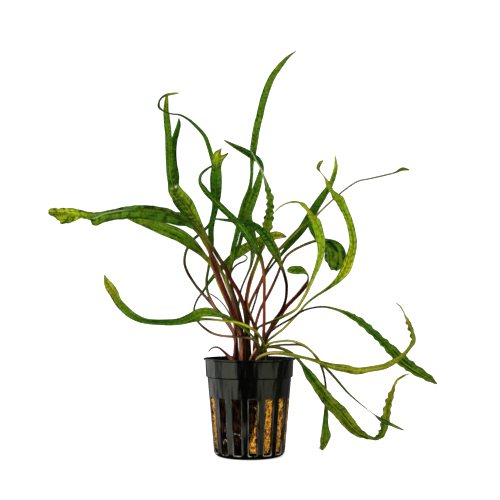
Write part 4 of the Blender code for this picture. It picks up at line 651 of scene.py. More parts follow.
PLANT["shoot_curled"] = dict(
    root=(0.4, 8.2),
    tissue=[(-2, "dark_brown"), (4, "black_brown"), (10, "black_brown")],
    rib=[(0, "black_brown"), (10, "black_brown")], flanks=("near_black", "dark_brown"),
    rows=[(-1.5, 69.5, 8.5, 1.1), (-4.2, 78, 8.5, 1.1), (-7.1, 88.5, 8, 1.1), (-9.9, 97.5, 8, 1.1),
          (-10.8, 104.5, 8, 1.1), (-8.2, 109, 9, 1.1), (-5.4, 110.8, 6.5, 1.1), (-2.5, 112, 6, 1),
          (-1.2, 113.5, 6, 0.8), (-2.1, 115, 6, 0.8), (-3.4, 115.3, 6, 0.6)],
)
PLANT["shoot_grey"] = dict(
    root=(-6.6, 8.2),
    tissue=[(-2, "grey_brown"), (5, "slate")],
    rib=[(-2, "slate"), (5, "slate")], flanks=("slate", "grey_brown"),
    rows=[(-7.5, 69.5, 8.5, 0.9), (-10.5, 80, 8, 0.9), (-12.8, 84, 7.5, 0.9), (-15.7, 88, 7, 0.8),
          (-19.7, 91.5, 6.5, 0.8), (-22.6, 93.3, 6, 0.6)],
)
PLANT["petiole_stub"] = dict(
    root=(0.2, -9.2),
    tissue=[(-2, "tan"), (0, "pink_tan"), (2, "pale_tan")],
    rib=[(0, "pink_tan"), (2, "pink_tan")], flanks=("tan", "pale_tan"),
    rows=[(0.6, 56.2, -9.5, 1.2), (2.4, 59.3, -9.5, 1.2), (3.8, 62, -9.5, 1)],
)


# ---------------------------------------------------------------- small helpers

def linear(colour):
    """An sRGB hex colour as linear red, green, blue and alpha."""
    shares = [int(colour[place:place + 2], 16) / 255 for place in (0, 2, 4)]
    return (*(s / 12.92 if s <= 0.04045 else ((s + 0.055) / 1.055) ** 2.4 for s in shares), 1.0)


def add(tree, kind, inputs=None, give=0, stops=(), **settings):
    """Adds a shader node with its settings and ramp stops, sets or links its inputs, gives one output."""
    made = tree.nodes.new("ShaderNode" + kind)
    for name, value in settings.items():
        setattr(made, name, value)
    for key, value in (inputs or {}).items():
        if isinstance(value, bpy.types.NodeSocket):
            tree.links.new(value, made.inputs[key])
        else:
            made.inputs[key].default_value = value
    for number, (place, colour) in enumerate(stops):
        if number > 1:
            made.color_ramp.elements.new(place)
        made.color_ramp.elements[number].position = place
        made.color_ramp.elements[number].color = linear(colour)
    return made.outputs[give]


def new_material(name, **uniform):
    """A material with its Principled surface, whose uniform values are set on the sockets themselves."""
    made = bpy.data.materials.new(name)
    made.use_nodes = True
    surface = made.node_tree.nodes["Principled BSDF"]
    sockets = {socket.name.lower().replace(" ", "_"): socket for socket in surface.inputs}
    for key, value in uniform.items():
        sockets[key].default_value = value
    return made, made.node_tree, surface


def add_mesh(name, points, faces, material, attributes=None, smooth_angle=180):
    """Links a mesh made from points in millimetres, with its point attributes."""
    mesh = bpy.data.meshes.new(name)
    mesh.from_pydata(np.asarray(points) * MM, [], faces)
    for label, values in (attributes or {}).items():
        stored = mesh.attributes.new(label, "FLOAT", "POINT")
        stored.data.foreach_set("value", np.asarray(values, np.float32))
    mesh.materials.append(material)
    mesh.shade_smooth()
    if smooth_angle < 180:
        mesh.set_sharp_from_angle(angle=math.radians(smooth_angle))
    piece = bpy.data.objects.new(name, mesh)
    bpy.context.scene.collection.objects.link(piece)
    return piece


def face_outwards(piece, weld=0.0):
    """Joins doubled points where weld is set, in metres, and turns the faces outwards."""
    solid = bmesh.new()
    solid.from_mesh(piece.data)
    if weld:
        bmesh.ops.remove_doubles(solid, verts=solid.verts, dist=weld)
    bmesh.ops.recalc_face_normals(solid, faces=solid.faces)
    solid.to_mesh(piece.data)
    solid.free()


def wander(distance, spacing, draws):
    """A smooth random curve between -1 and 1, with a new value about every spacing."""
    knots = np.arange(int(distance.max() / spacing) + 3)
    values = draws.uniform(-1, 1, len(knots))
    place = distance / spacing
    below = place.astype(int)
    share = place - below
    share = share * share * (3 - 2 * share)
    return values[below] * (1 - share) + values[below + 1] * share


def smoothstep(low, high, value):
    """0 up to low and 1 from high on, with an even swing between them."""
    share = np.clip((value - low) / (high - low), 0, 1)
    return share * share * (3 - 2 * share)


def unit(vectors):
    """The same directions, each 1 long."""
    return vectors / np.linalg.norm(vectors, axis=-1, keepdims=True)


# ---------------------------------------------------------------- leaves

def on_sheet(across, up, depth):
    """A point of the sheet, moved along its sight line to a depth (its Y)."""
    tilt = math.atan2(AIM_HEIGHT - EYE[2], -EYE[1])
    above = up - SHEET_AIM
    drawn = np.array((across, -above * math.sin(tilt), AIM_HEIGHT + above * math.cos(tilt)))
    return EYE + (drawn - EYE) * (depth - EYE[1]) / (drawn[1] - EYE[1])


def curve_through(knots, values, at):
    """A smooth curve through values at uneven knots, read at the given places."""
    steps = np.diff(knots)[:, None]
    slopes = np.diff(values, axis=0) / steps
    inner = (slopes[:-1] * steps[1:] + slopes[1:] * steps[:-1]) / (steps[1:] + steps[:-1])
    tangents = np.vstack([slopes[:1], inner, slopes[-1:]])
    span = np.clip(np.searchsorted(knots, at, "right") - 1, 0, len(knots) - 2)
    step = steps[span]
    share = ((at - knots[span]) / step[:, 0])[:, None]
    square, cube = share**2, share**3
    start = (2 * cube - 3 * square + 1) * values[span] + (cube - 2 * square + share) * step * tangents[span]
    end = (3 * square - 2 * cube) * values[span + 1] + (cube - square) * step * tangents[span + 1]
    return start + end


def leaf_stations(root, rows, blade_from):
    """Places, widths and row numbers at steps along a leaf, which are short on the blade."""
    foot = np.array((*root, CROWN_TOP + GAP))
    route = [(*foot, rows[0][3]), (*(foot + (0, 0, FOOT_RISE)), rows[0][3])]
    route += [(*on_sheet(*row[:3]), row[3]) for row in rows]
    route = np.array(route)
    knots = np.concatenate([[0], np.cumsum(np.linalg.norm(np.diff(route[:, :3], axis=0), axis=1))])
    numbers = np.arange(len(route)) + FIRST_ROW
    blade_start = np.interp(blade_from - 0.5, numbers, knots)
    at = np.concatenate([
        np.arange(0, blade_start, PETIOLE_STEP),
        np.arange(blade_start, knots[-1], BLADE_STEP),
        [knots[-1]],
    ])
    smooth = curve_through(knots, route, at)
    return at, smooth[:, :3], np.maximum(smooth[:, 3], LEAST_WIDTH), np.interp(at, knots, numbers)


def leaf_axes(at, places, turn):
    """The leaf's own directions at each station: along it, to its side, and away from its front."""
    along = unit(np.gradient(places, at, axis=0))
    along[0] = (0, 0, 1)
    side = unit(np.cross(along, places - EYE))
    away = np.cross(side, along)
    return along, side * np.cos(turn) + away * np.sin(turn), away * np.cos(turn) - side * np.sin(turn)


def margin_waves(at, number, half, left, outline, height, length, ripple, crinkle, draws):
    """How far the margins rise and fall in waves, and the outline, nipped in between the waves.

    The two sides differ. crinkle is the row from which tight waves begin, with their height and length.
    """
    swell = np.zeros(left.shape)
    out = np.abs(np.linspace(-1, 1, COLUMNS))
    broad = smoothstep(1, 2.2, half)
    for mine in (left, ~left):
        cycles = np.cumsum(np.gradient(at) / length) + 0.35 * wander(at, 6, draws) + draws.uniform(0, 1)
        lap = np.sin(2 * math.pi * cycles) * height * (0.75 + 0.45 * wander(at, 11, draws))
        nip = ripple * np.sin(2 * math.pi * cycles + 1.2) * broad / np.maximum(half, 1)
        if crinkle:
            first, tight_height, tight_length = crinkle
            tight = smoothstep(first, first + 1, number)
            strayed = 2 * math.pi * at / tight_length + 0.8 * wander(at, tight_length, draws)
            beat = np.sin(strayed + draws.uniform(0, 6))
            lap += tight * tight_height * beat
            nip -= tight * 0.15 * (0.4 - beat)
        swell += mine * out**2 * lap[:, None]
        outline = outline + mine * out * nip[:, None]
    return swell, outline


def pucker_pattern(name, at, half, left, spacing, draws):
    """Lens-shaped domes in a row on each side of the midrib, parted by slanting cross-veins.

    Gives how high each point stands on its dome, how near it is to the dome's outline, and the dome's mood.
    """
    out = np.abs(np.linspace(-1, 1, COLUMNS))
    cycles = np.cumsum(np.gradient(at)[:, None] / spacing, axis=0)
    left_shift = 0.45 * wander(at, 4, draws)[:, None] + 0.5
    right_shift = 0.45 * wander(at, 4, draws)[:, None]
    cells = cycles + np.where(left, left_shift, right_shift) - VEIN_SLANT * out * half / spacing
    from_middle = np.hypot(2 * (cells % 1) - 1, (out - DOME_MIDDLE) / DOME_REACH)
    domes = np.clip(1 - from_middle**2, 0, 1) ** 0.7
    outlines = np.exp(-(((from_middle - 0.98) / 0.24) ** 2))
    moods = np.random.RandomState(len(name)).uniform(-1, 1, 4096)
    return domes, outlines, moods[(np.floor(cells).astype(int) * 2 + left) % len(moods)]


def crumpled(at, aside):
    """Sharp folds in all directions, 1 on a fold and below 0 between them."""
    crush = np.zeros(aside.shape)
    for row, column in np.ndindex(*aside.shape):
        spot = Vector((at[row] / CRUMPLE_LENGTH, aside[row, column] / CRUMPLE_WIDTH, 3.7))
        crush[row, column] = 1 - 2.2 * abs(noise.noise(spot))
    return crush


def creased(number, span, half, creases):
    """Grooves along the leaf, each from one row to another."""
    dents = np.zeros(span.shape)
    for first, last, place, size, depth in creases:
        here = smoothstep(first - 0.4, first, number) * (1 - smoothstep(last, last + 0.4, number))
        dents += depth * here[:, None] * np.exp(-(((span - place) * half / size) ** 2))
    return dents


def petiole_section(at, width, draws):
    """A petiole's radius, thicker at its foot, the same with shallow flutes, and the columns' angles."""
    radius = (width / 2 * (1 + 0.25 * np.exp(-at / FOOT_SWELL) + 0.06 * wander(at, 7, draws)))[:, None]
    angles = math.pi * (np.arange(COLUMNS) + 0.5) / COLUMNS
    return radius, radius * (1 + FLUTE_DEPTH * np.cos(3 * angles + 1)), angles


def leaf_faces(stations):
    """The faces round a leaf's sections, and a strip of faces over each end."""
    count = 2 * COLUMNS
    here = np.arange(stations - 1)[:, None] * count + np.arange(count)
    beside = np.arange(stations - 1)[:, None] * count + (np.arange(count) + 1) % count
    faces = np.stack([here, here + count, beside + count, beside], axis=-1).reshape(-1, 4).tolist()
    last = (stations - 1) * count
    for column in range(COLUMNS - 1):
        across = (column, column + 1, count - 2 - column, count - 1 - column)
        faces.append(across)
        faces.append(tuple(last + corner for corner in reversed(across)))
    return faces


def build_leaf(name, root, rows, tissue, rib, turns=((0, 0),), blade_from=99, waves=((0, 0.3, 7),),
               puckers=((0, 0.2, 3),), fold=0.3, ripple=0.0, crumple=0.0, shift=((0, 0),),
               lobes=((0, 1, 1),), crinkle=None, creases=(), sides=((0, 0, 0),), marks=(), dome_tone=1.0,
               tip_shape=((-1, 0), (1, 0)), **look):
    """One leaf: a round petiole that opens into a thin blade, with waves, puckers and a midrib.

    Its values are those of PLANT. What is left of them, look, goes to the leaf's material.
    """
    draws = np.random.RandomState(sum(map(ord, name)))
    at, places, width, number = leaf_stations(root, rows, blade_from)

    def along_rows(listed, column):
        """One column of a list that is ordered by row, read at every station."""
        columns = list(zip(*listed))
        return np.interp(number, columns[0], columns[column])[:, None]

    blade = smoothstep(blade_from - 1, blade_from + 1.2, number)[:, None]
    petiole = 1 - blade
    turn = np.radians(along_rows(turns, 1)) * blade
    along, side, away = leaf_axes(at, places, turn)
    half = width[:, None] / 2 / np.cos(turn)
    broad = smoothstep(0.6, 1.8, half)

    # Places across the blade: from -1 at the right margin to 1 at the left, and out from the middle
    across = np.broadcast_to(np.linspace(-1, 1, COLUMNS), (len(at), COLUMNS))
    left = across > 0
    out = np.abs(across)
    midrib = along_rows(shift, 1)
    span = across + midrib * (1 - across**2)
    off_rib = np.abs(span - midrib) * half

    outline = np.where(left, along_rows(lobes, 1), along_rows(lobes, 2))
    swell, outline = margin_waves(at, number, half[:, 0], left, outline, along_rows(waves, 1)[:, 0],
                                  along_rows(waves, 2)[:, 0], ripple, crinkle, draws)
    dome_height = along_rows(puckers, 1)
    domes, outlines, patch = pucker_pattern(name, at, half, left, along_rows(puckers, 2), draws)
    crush = 0
    if crumple:
        crush = crumpled(at, span * half) * smoothstep(blade_from + 0.5, blade_from + 2, number)[:, None]
    dents = creased(number, span, half, creases)

    lift = fold * half * (out**1.4 - 0.45) + swell * broad + dome_height * broad * (domes - 0.4)
    lift += crumple * crush - 0.8 * dents
    thick = (MID_THICKNESS + (RIM_THICKNESS - MID_THICKNESS) * out) / 2 * np.minimum(half / 1.1, 1)
    ridge = np.exp(-((off_rib / RIDGE_WIDTH) ** 2)) * broad
    keel = KEEL_HEIGHT * np.exp(-((off_rib / KEEL_WIDTH) ** 2)) * np.minimum(half / 2, 1)
    front_lift = lift + thick + RIDGE_HEIGHT * ridge
    back_lift = lift - thick - keel

    # The petiole's round section, opened out into the blade's
    radius, fluted, angles = petiole_section(at, width, draws)
    offset = blade * span * half * outline - petiole * fluted * np.cos(angles)
    pull = smoothstep(at[-1] - TIP_LENGTH, at[-1], at)[:, None]
    pull = pull * np.interp(across[0], *zip(*tip_shape))[None, :]
    grids = []
    for lifted, hand in ((front_lift, 1), (back_lift, -1)):
        raised = (blade * lifted + petiole * hand * fluted * PETIOLE_DEPTH * np.sin(angles))[..., None]
        grids.append(places[:, None] + side[:, None] * offset[..., None] - away[:, None] * raised
                     + along[:, None] * pull[..., None])
    ring = np.concatenate([grids[0], grids[1][:, ::-1]], axis=1)
    low, high = (np.array(corner) / MM for corner in CAD_BOX)
    points = np.clip(ring.reshape(-1, 3), low, high)

    # Tone, lighter or darker than the shade: painted light on the domes and crumpled folds, painted shade in
    # the cross-veins, creases and between folds, and darker at the rim
    tone = broad * ((0.4 + 0.12 * patch) * domes - (0.5 + 0.2 * patch) * outlines)
    tone = dome_tone * tone * np.minimum(dome_height / 0.25, 1.3) * blade
    tone += 1.3 * crush - 1.6 * np.minimum(dents, 1) - 0.35 * smoothstep(0.9, 1, out) * blade
    tone = np.minimum(tone, 1.0)
    # Painted light and shade on each half of the blade
    balance = smoothstep(-0.2, 0.2, across)
    tone += blade * (balance * along_rows(sides, 2) + (1 - balance) * along_rows(sides, 1))
    # Light spots are painted glints, dark spots are painted shade under folds and dark flecks
    for row, place, size, shade in marks:
        run = at - np.interp(row, number, at)
        tone += 2.2 * shade * np.exp(-((run[:, None] / size) ** 2 + ((span - place) * half / size) ** 2))

    def both(values):
        """Values across the blade, for the front and then for the back."""
        values = np.broadcast_to(values, across.shape)
        return np.concatenate([values, values[:, ::-1]], axis=1).ravel()

    attributes = {
        "growth": both((at / at[-1])[:, None]),
        "across": both(blade * (span - midrib) - petiole * np.cos(angles)),
        "off_rib": both(off_rib * blade + 9 * petiole),
        "blade": both(blade),
        "tone": both(tone),
        "run": both(at[:, None]),
        "aside": both(blade * span * half + petiole * radius * angles),
        "back": np.concatenate([np.zeros(across.shape), np.ones(across.shape)], axis=1).ravel(),
    }
    row_numbers = range(FIRST_ROW, len(rows))
    shares = np.interp(row_numbers, number, at / at[-1])

    def ramp(listed):
        """Shades by row as stops of a ramp from the petiole's foot, 0, to the tip, 1."""
        return [(float(np.interp(row, row_numbers, shares)), SHADES[shade]) for row, shade in listed]

    made = leaf_material(name, ramp(tissue), ramp(rib), **look)
    piece = add_mesh(name + "_tissue", points, leaf_faces(len(at)), made, attributes)
    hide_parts(name)
    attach(piece, "root")


def leaf_patterns(tree, read, flow, vein_depth, mottle, ticks):
    """Cloudy patterns and fine veins in the leaf's own millimetres, each as light and dark around 0."""
    cloud = {}
    for label, size, stretch, detail, on_petiole, on_blade in (
            ("streak", 1.1, (0.1, 1, 1), 3.0, 7.0, 4.4),  # runs with the leaf
            ("tick", 1.0, (1, 0.4, 1), 2.0, 1.0, 2.8 * ticks),  # a short vein square to the midrib
            ("grain", 0.9, (1, 1, 1), 2.0, 1.5, 2.6 * mottle),
            ("blotch", 4.5, (1, 1, 1), 3.0, 1.5, 2.4 * mottle)):
        drawn = add(tree, "Mapping", {"Vector": flow, "Scale": stretch})
        drawn = add(tree, "TexNoise", {"Vector": drawn, "Scale": 1 / size, "Detail": detail})
        drawn = add(tree, "Math", {0: drawn, 1: 0.5}, operation="SUBTRACT")
        amount = add(tree, "MapRange", {"Value": read["blade"], "To Min": on_petiole, "To Max": on_blade})
        cloud[label] = add(tree, "Math", {0: drawn, 1: amount}, operation="MULTIPLY")
    veins = add(tree, "Math", {0: read["across"], 1: FINE_VEINS}, operation="MULTIPLY")
    veins = add(tree, "Math", {0: veins}, operation="SINE")
    depth = add(tree, "Math", {0: read["blade"], 1: vein_depth}, operation="MULTIPLY")
    cloud["veins"] = add(tree, "Math", {0: veins, 1: depth}, operation="MULTIPLY")
    return cloud


def leaf_material(name, tissue, rib, flanks, rib_share=0.5, rib_width=0.35, edge="dark_olive",
                  edge_share=0.35, vein_depth=0.28, mottle=1.0, ticks=1.0, gloss=0.06):
    """Living leaf tissue, grown under a smooth waxy skin: soft green below broad, wet highlights.

    The colour runs along the leaf from petiole to tip, has painted light on the domes and painted shade in
    the cross-veins between them, and shows the midrib as a line of its own. A petiole has another shade down
    each flank, partly its own and partly painted light and shade, with painted shade where its edges turn
    away.
    """
    made, tree, surface = new_material(
        name + "_leaf_tissue", ior=1.42, specular_ior_level=0.18, specular_tint=linear(WAX_SHINE),
        coat_weight=gloss, coat_roughness=0.2, subsurface_weight=0.06, subsurface_scale=0.9 * MM,
        subsurface_radius=(0.45, 0.8, 0.15))
    read = {label: add(tree, "Attribute", give="Fac", attribute_name=label)
            for label in ("growth", "across", "off_rib", "blade", "tone", "run", "aside", "back")}
    body = add(tree, "ValToRGB", {"Fac": read["growth"]}, stops=tissue)
    line = add(tree, "ValToRGB", {"Fac": read["growth"]}, stops=rib)

    # The leaf's own millimetres: along it, round or across it, and a number for this leaf
    flow = add(tree, "CombineXYZ", {"X": read["run"], "Y": read["aside"], "Z": float(sum(map(ord, name)))})
    cloud = leaf_patterns(tree, read, flow, vein_depth, mottle, ticks)
    tone = read["tone"]
    for drawn in cloud.values():
        tone = add(tree, "Math", {0: tone, 1: drawn}, operation="ADD")

    # The flanks of a petiole, partly its own colour and partly painted light and shade, on a soft line down
    # its middle, and painted shade where its edges turn away
    petiole = add(tree, "Math", {0: 1.0, 1: read["blade"]}, operation="SUBTRACT")
    off_middle = add(tree, "Math", {0: read["across"]}, operation="ABSOLUTE")
    share = add(tree, "MapRange", {"Value": read["across"], "From Min": -0.1, "From Max": 0.1})
    flank = add(tree, "Mix", {0: share, 6: linear(SHADES[flanks[0]]), 7: linear(SHADES[flanks[1]])}, 2,
                data_type="RGBA")
    share = add(tree, "MapRange", {"Value": off_middle, "From Min": 0.35, "From Max": 0.75, "To Max": 0.8},
                interpolation_type="SMOOTHSTEP")
    share = add(tree, "Math", {0: share, 1: petiole}, operation="MULTIPLY")
    body = add(tree, "Mix", {0: share, 6: body, 7: flank}, 2, data_type="RGBA")

    # What the tone does to red tissue and to green tissue
    red = add(tree, "SeparateColor", {"Color": body}, "Red")
    redness = add(tree, "Math", {0: red, 1: red.node.outputs["Green"]}, operation="SUBTRACT")
    redness = add(tree, "MapRange", {"Value": redness, "From Min": 0.02, "From Max": 0.09})
    low = add(tree, "Mix", {0: redness, 6: GREEN_IN_SHADE, 7: RED_IN_SHADE}, 2, data_type="RGBA")
    high = add(tree, "Mix", {0: redness, 6: GREEN_IN_LIGHT, 7: RED_IN_LIGHT}, 2, data_type="RGBA")
    share = add(tree, "MapRange", {"Value": tone, "From Min": -TONE_LIMIT, "From Max": TONE_LIMIT})
    gain = add(tree, "Mix", {0: share, 6: low, 7: high}, 2, data_type="RGBA")
    lit = add(tree, "Mix", {0: 1.0, 6: body, 7: gain}, 2, data_type="RGBA", blend_type="MULTIPLY")
    # Painted shade where a petiole's edges turn away
    turned = add(tree, "MapRange", {"Value": off_middle, "From Min": 0.82, "From Max": 1.0, "To Max": 0.7})
    turned = add(tree, "Math", {0: turned, 1: petiole}, operation="MULTIPLY")
    lit = add(tree, "Mix", {0: turned, 6: lit, 7: linear(SHADES["near_black"])}, 2, data_type="RGBA")

    # The margin, thinner and darker, and the midrib with the streaks along it
    margin = add(tree, "MapRange", {"Value": off_middle, "From Min": 0.78, "To Max": edge_share},
                 interpolation_type="SMOOTHSTEP")
    margin = add(tree, "Math", {0: margin, 1: read["blade"]}, operation="MULTIPLY")
    lit = add(tree, "Mix", {0: margin, 6: lit, 7: linear(SHADES[edge])}, 2, data_type="RGBA")
    middle = add(tree, "MapRange", {"Value": read["off_rib"], "From Min": 0.4 * rib_width,
                                    "From Max": rib_width + 0.1, "To Min": rib_share, "To Max": 0.0},
                 interpolation_type="SMOOTHSTEP")
    share = add(tree, "MapRange", {"Value": cloud["streak"], "From Min": -0.9, "From Max": 0.9})
    gain = add(tree, "Mix", {0: share, 6: (0.5, 0.5, 0.5, 1), 7: (1.4, 1.4, 1.4, 1)}, 2, data_type="RGBA")
    line = add(tree, "Mix", {0: 1.0, 6: line, 7: gain}, 2, data_type="RGBA", blend_type="MULTIPLY")
    lit = add(tree, "Mix", {0: middle, 6: lit, 7: line}, 2, data_type="RGBA")

    # A glint where the tone is very high, as at a fold; a back that is a little paler; brown specks
    pale = add(tree, "MapRange", {"Value": read["tone"], "From Min": 1.5, "From Max": 2.2, "To Max": 0.8})
    lit = add(tree, "Mix", {0: pale, 6: lit, 7: linear(FOLD_GLINT)}, 2, data_type="RGBA")
    under = add(tree, "Math", {0: read["back"], 1: 0.2}, operation="MULTIPLY")
    under = add(tree, "Math", {0: under, 1: read["blade"]}, operation="MULTIPLY")
    lit = add(tree, "Mix", {0: under, 6: lit, 7: linear(LEAF_BACK)}, 2, data_type="RGBA")
    specks = add(tree, "TexVoronoi", {"Vector": flow, "Scale": 1 / SPECK_SPACING}, "Distance")
    specks = add(tree, "MapRange", {"Value": specks, "From Min": 0.04, "From Max": 0.07, "To Min": 0.7,
                                    "To Max": 0.0}, interpolation_type="SMOOTHSTEP")
    specks = add(tree, "Math", {0: specks, 1: read["blade"]}, operation="MULTIPLY")
    lit = add(tree, "Mix", {0: specks, 6: lit, 7: linear(LEAF_SPECK)}, 2, data_type="RGBA")
    tree.links.new(lit, surface.inputs["Base Color"])

    # Smooth wax on the petiole, a little duller on the blade
    sheen = add(tree, "TexNoise", {"Vector": flow, "Scale": 1 / LEAF_SHEEN})
    dull = add(tree, "MapRange", {"Value": read["blade"], "To Min": 0.16, "To Max": 0.28})
    sheen = add(tree, "Math", {0: sheen, 1: 0.28, 2: dull}, operation="MULTIPLY_ADD")
    tree.links.new(sheen, surface.inputs["Roughness"])
    relief = add(tree, "Math", {0: cloud["tick"], 1: cloud["streak"]}, operation="ADD")
    relief = add(tree, "Bump", {"Height": relief, "Distance": LEAF_RELIEF * MM})
    tree.links.new(relief, surface.inputs["Normal"])
    return made


# ---------------------------------------------------------------- pot

BAND_FOOT, BAND_TOP = 1.7, 36.0  # the part of the wall that holds the slots
SLOT_COLUMNS, SLOT_ROWS = 12, 34
SLOT_CORNER = 0.55
SLOT_EASE = 0.38  # the slots' edges are rounded this much
EASED = (1, 0.29, 0)  # shares of the rounding, from the face to the slot's side
FACE_SHARES = (0, 0.3, 0.6, 0.85)  # rings between the border of a slot's share of the wall and its edge
HIGHLIGHT_RINGS = (0, 0, 0, 0, 1, 1, 0.4)  # how strong the painted highlight is on each of those rings, then on each of the rounding's
HIGHLIGHT_UP_SLOT = (1, 0.3, 0.3, 0.1)  # the painted highlight's strength at the slot's foot, 1 mm above it, 1 mm below its top, and at its top


def body_radius(height):
    """The outer radius of the pot's wall, rounded in at the foot."""
    share = (height - CORNER_RADIUS) / (COLLAR_FOOT - STEP_HEIGHT - CORNER_RADIUS)
    tapered = BODY_FOOT_RADIUS + share * (BODY_TOP_RADIUS - BODY_FOOT_RADIUS)
    if height >= CORNER_RADIUS:
        return tapered
    drop = CORNER_RADIUS - height
    return BODY_FOOT_RADIUS - CORNER_RADIUS + math.sqrt(CORNER_RADIUS**2 - drop**2)


def inner_radius(height):
    """The inner radius of the pot's wall, rounded in at the floor."""
    size = CORNER_RADIUS - WALL
    if height >= FLOOR + size:
        return body_radius(height) - WALL
    drop = FLOOR + size - height
    return BODY_FOOT_RADIUS - WALL - size + math.sqrt(size**2 - drop**2)


def slot_loop(grow):
    """A slot's outline, from its lower left corner: (offset across, height), grown outwards by grow."""
    foot, top = SLOT_FOOT - grow, SLOT_TOP + grow
    corner = SLOT_CORNER + grow

    def spaced(length, count):
        """Places along a side, close together at its rounded corners."""
        bends = [corner * (1 - math.cos(math.radians(a))) for a in (45, 67.5, 90)]
        run = np.linspace(bends[-1], length - bends[-1], count - 3)
        return np.concatenate([bends[:2], run, [length - bends[1], length - bends[0]]])

    def drop(place, length):
        """How far a rounded corner takes the outline in at this place."""
        near = min(place, length - place)
        return corner - math.sqrt(max(corner**2 - (corner - near) ** 2, 0)) if near < corner else 0

    def half(height):
        """Half the slot's width."""
        share = (height - SLOT_FOOT) / (SLOT_TOP - SLOT_FOOT)
        return (SLOT_FOOT_WIDTH + share * (SLOT_TOP_WIDTH - SLOT_FOOT_WIDTH)) / 2 + grow

    loop = []
    low_width, high_width, length = 2 * half(foot), 2 * half(top), top - foot
    for place in spaced(low_width, SLOT_COLUMNS)[:-1]:
        loop.append((place - low_width / 2, foot + drop(place, low_width)))
    for place in spaced(length, SLOT_ROWS)[:-1]:
        loop.append((half(foot + place) - drop(place, length), foot + place))
    for place in spaced(high_width, SLOT_COLUMNS)[:-1]:
        loop.append((high_width / 2 - place, top - drop(place, high_width)))
    for place in spaced(length, SLOT_ROWS)[:-1]:
        loop.append((-half(top - place) + drop(place, length), top - place))
    return loop


def cell_loop():
    """The outline of one slot's share of the wall, with as many points as a slot's: (angle, height)."""
    across = np.linspace(-math.pi / SLOT_COUNT, math.pi / SLOT_COUNT, SLOT_COLUMNS + 1)
    up = np.linspace(BAND_FOOT, BAND_TOP, SLOT_ROWS + 1)
    loop = [(angle, BAND_FOOT) for angle in across[:-1]] + [(across[-1], height) for height in up[:-1]]
    loop += [(angle, BAND_TOP) for angle in across[:0:-1]] + [(across[0], height) for height in up[:0:-1]]
    return loop


def wall_point(angle, height, depth):
    """A point in the wall's thickness: depth 0 on the outside, 1 on the inside."""
    radius = body_radius(height) + (inner_radius(height) - body_radius(height)) * depth
    return (radius * math.cos(angle), radius * math.sin(angle), height)


def build_slotted_band(points, faces):
    """The wall's slotted part: for each slot, rings from the outside, through the slot, to the inside.

    Gives the painted highlight at each point: 1 on the lower outer edge of a slot, less up its sides, 0 away
    from it.
    """
    edge_highlight = []
    cell = cell_loop()
    count = len(cell)
    for slot in range(SLOT_COUNT):
        centre = math.radians(SLOT_FIRST - 90 + 360 / SLOT_COUNT * slot)
        rings = []
        heights = [height for _, height in slot_loop(0)]
        height_highlight = np.interp(heights, (SLOT_FOOT, SLOT_FOOT + 1, SLOT_TOP - 1, SLOT_TOP), HIGHLIGHT_UP_SLOT)
        for depth, order in ((0, 1), (1, -1)):
            edge = [(offset / body_radius(height), height) for offset, height in slot_loop(SLOT_EASE)]
            part = []
            for share in FACE_SHARES:
                part.append([
                    wall_point(centre + a + (b - a) * share, h + (g - h) * share, depth)
                    for (a, h), (b, g) in zip(cell, edge)
                ])
            for ease in EASED:
                loop = slot_loop(SLOT_EASE * ease)
                bury = (1 - math.sqrt(max(1 - (1 - ease) ** 2, 0))) * SLOT_EASE / WALL
                bury = bury if depth == 0 else 1 - bury
                part.append([
                    wall_point(centre + offset / body_radius(height), height, bury)
                    for offset, height in loop
                ])
            rings += part[::order]
            on_edge = HIGHLIGHT_RINGS if depth == 0 else (0,) * len(part)
            edge_highlight += [share * up_slot for share in on_edge for up_slot in height_highlight]
        start = len(points)
        for ring in rings:
            points += ring
        for ring in range(len(rings) - 1):
            for corner in range(count):
                here = start + ring * count + corner
                beside = start + ring * count + (corner + 1) % count
                faces.append((here, beside, beside + count, here + count))
    return edge_highlight


def build_turned(points, faces, profile):
    """A turned part of the pot, with edges that meet the slotted band's."""
    sides = SLOT_COUNT * SLOT_COLUMNS
    start_angle = math.radians(SLOT_FIRST - 90 - 180 / SLOT_COUNT)
    rings = []
    for radius, height in profile:
        if radius == 0:
            rings.append([len(points)] * sides)
            points.append((0, 0, height))
            continue
        rings.append(list(range(len(points), len(points) + sides)))
        for side in range(sides):
            angle = start_angle + 2 * math.pi * side / sides
            points.append((radius * math.cos(angle), radius * math.sin(angle), height))
    for lower, upper in zip(rings, rings[1:]):
        for side in range(sides):
            after = (side + 1) % sides
            face = list(dict.fromkeys((lower[side], lower[after], upper[after], upper[side])))
            faces.append(face)


def arc(centre, radius, start, end, steps=4):
    """Points of an arc in the (radius, height) plane, angles in degrees from outwards."""
    turned = []
    for step in range(steps + 1):
        angle = math.radians(start + (end - start) * step / steps)
        turned.append((centre[0] + radius * math.cos(angle), centre[1] + radius * math.sin(angle)))
    return turned


def foot_profile():
    """(radius, height) from the middle of the foot, with its gate mark, out to the slotted wall."""
    corner = (BODY_FOOT_RADIUS - CORNER_RADIUS, CORNER_RADIUS)
    gate_mark = [(0, 0.55), (0.9, 0.55), (1.2, 0.25), (1.5, 0.35)]
    recess = [(12.6, 0.35), (13.4, 0.3), (13.9, 0.06), (14.3, 0), (corner[0], 0)]
    low_angle = math.degrees(math.asin((CORNER_RADIUS - BAND_FOOT) / CORNER_RADIUS))
    return gate_mark + recess + arc(corner, CORNER_RADIUS, -90, -low_angle, 6)[1:]


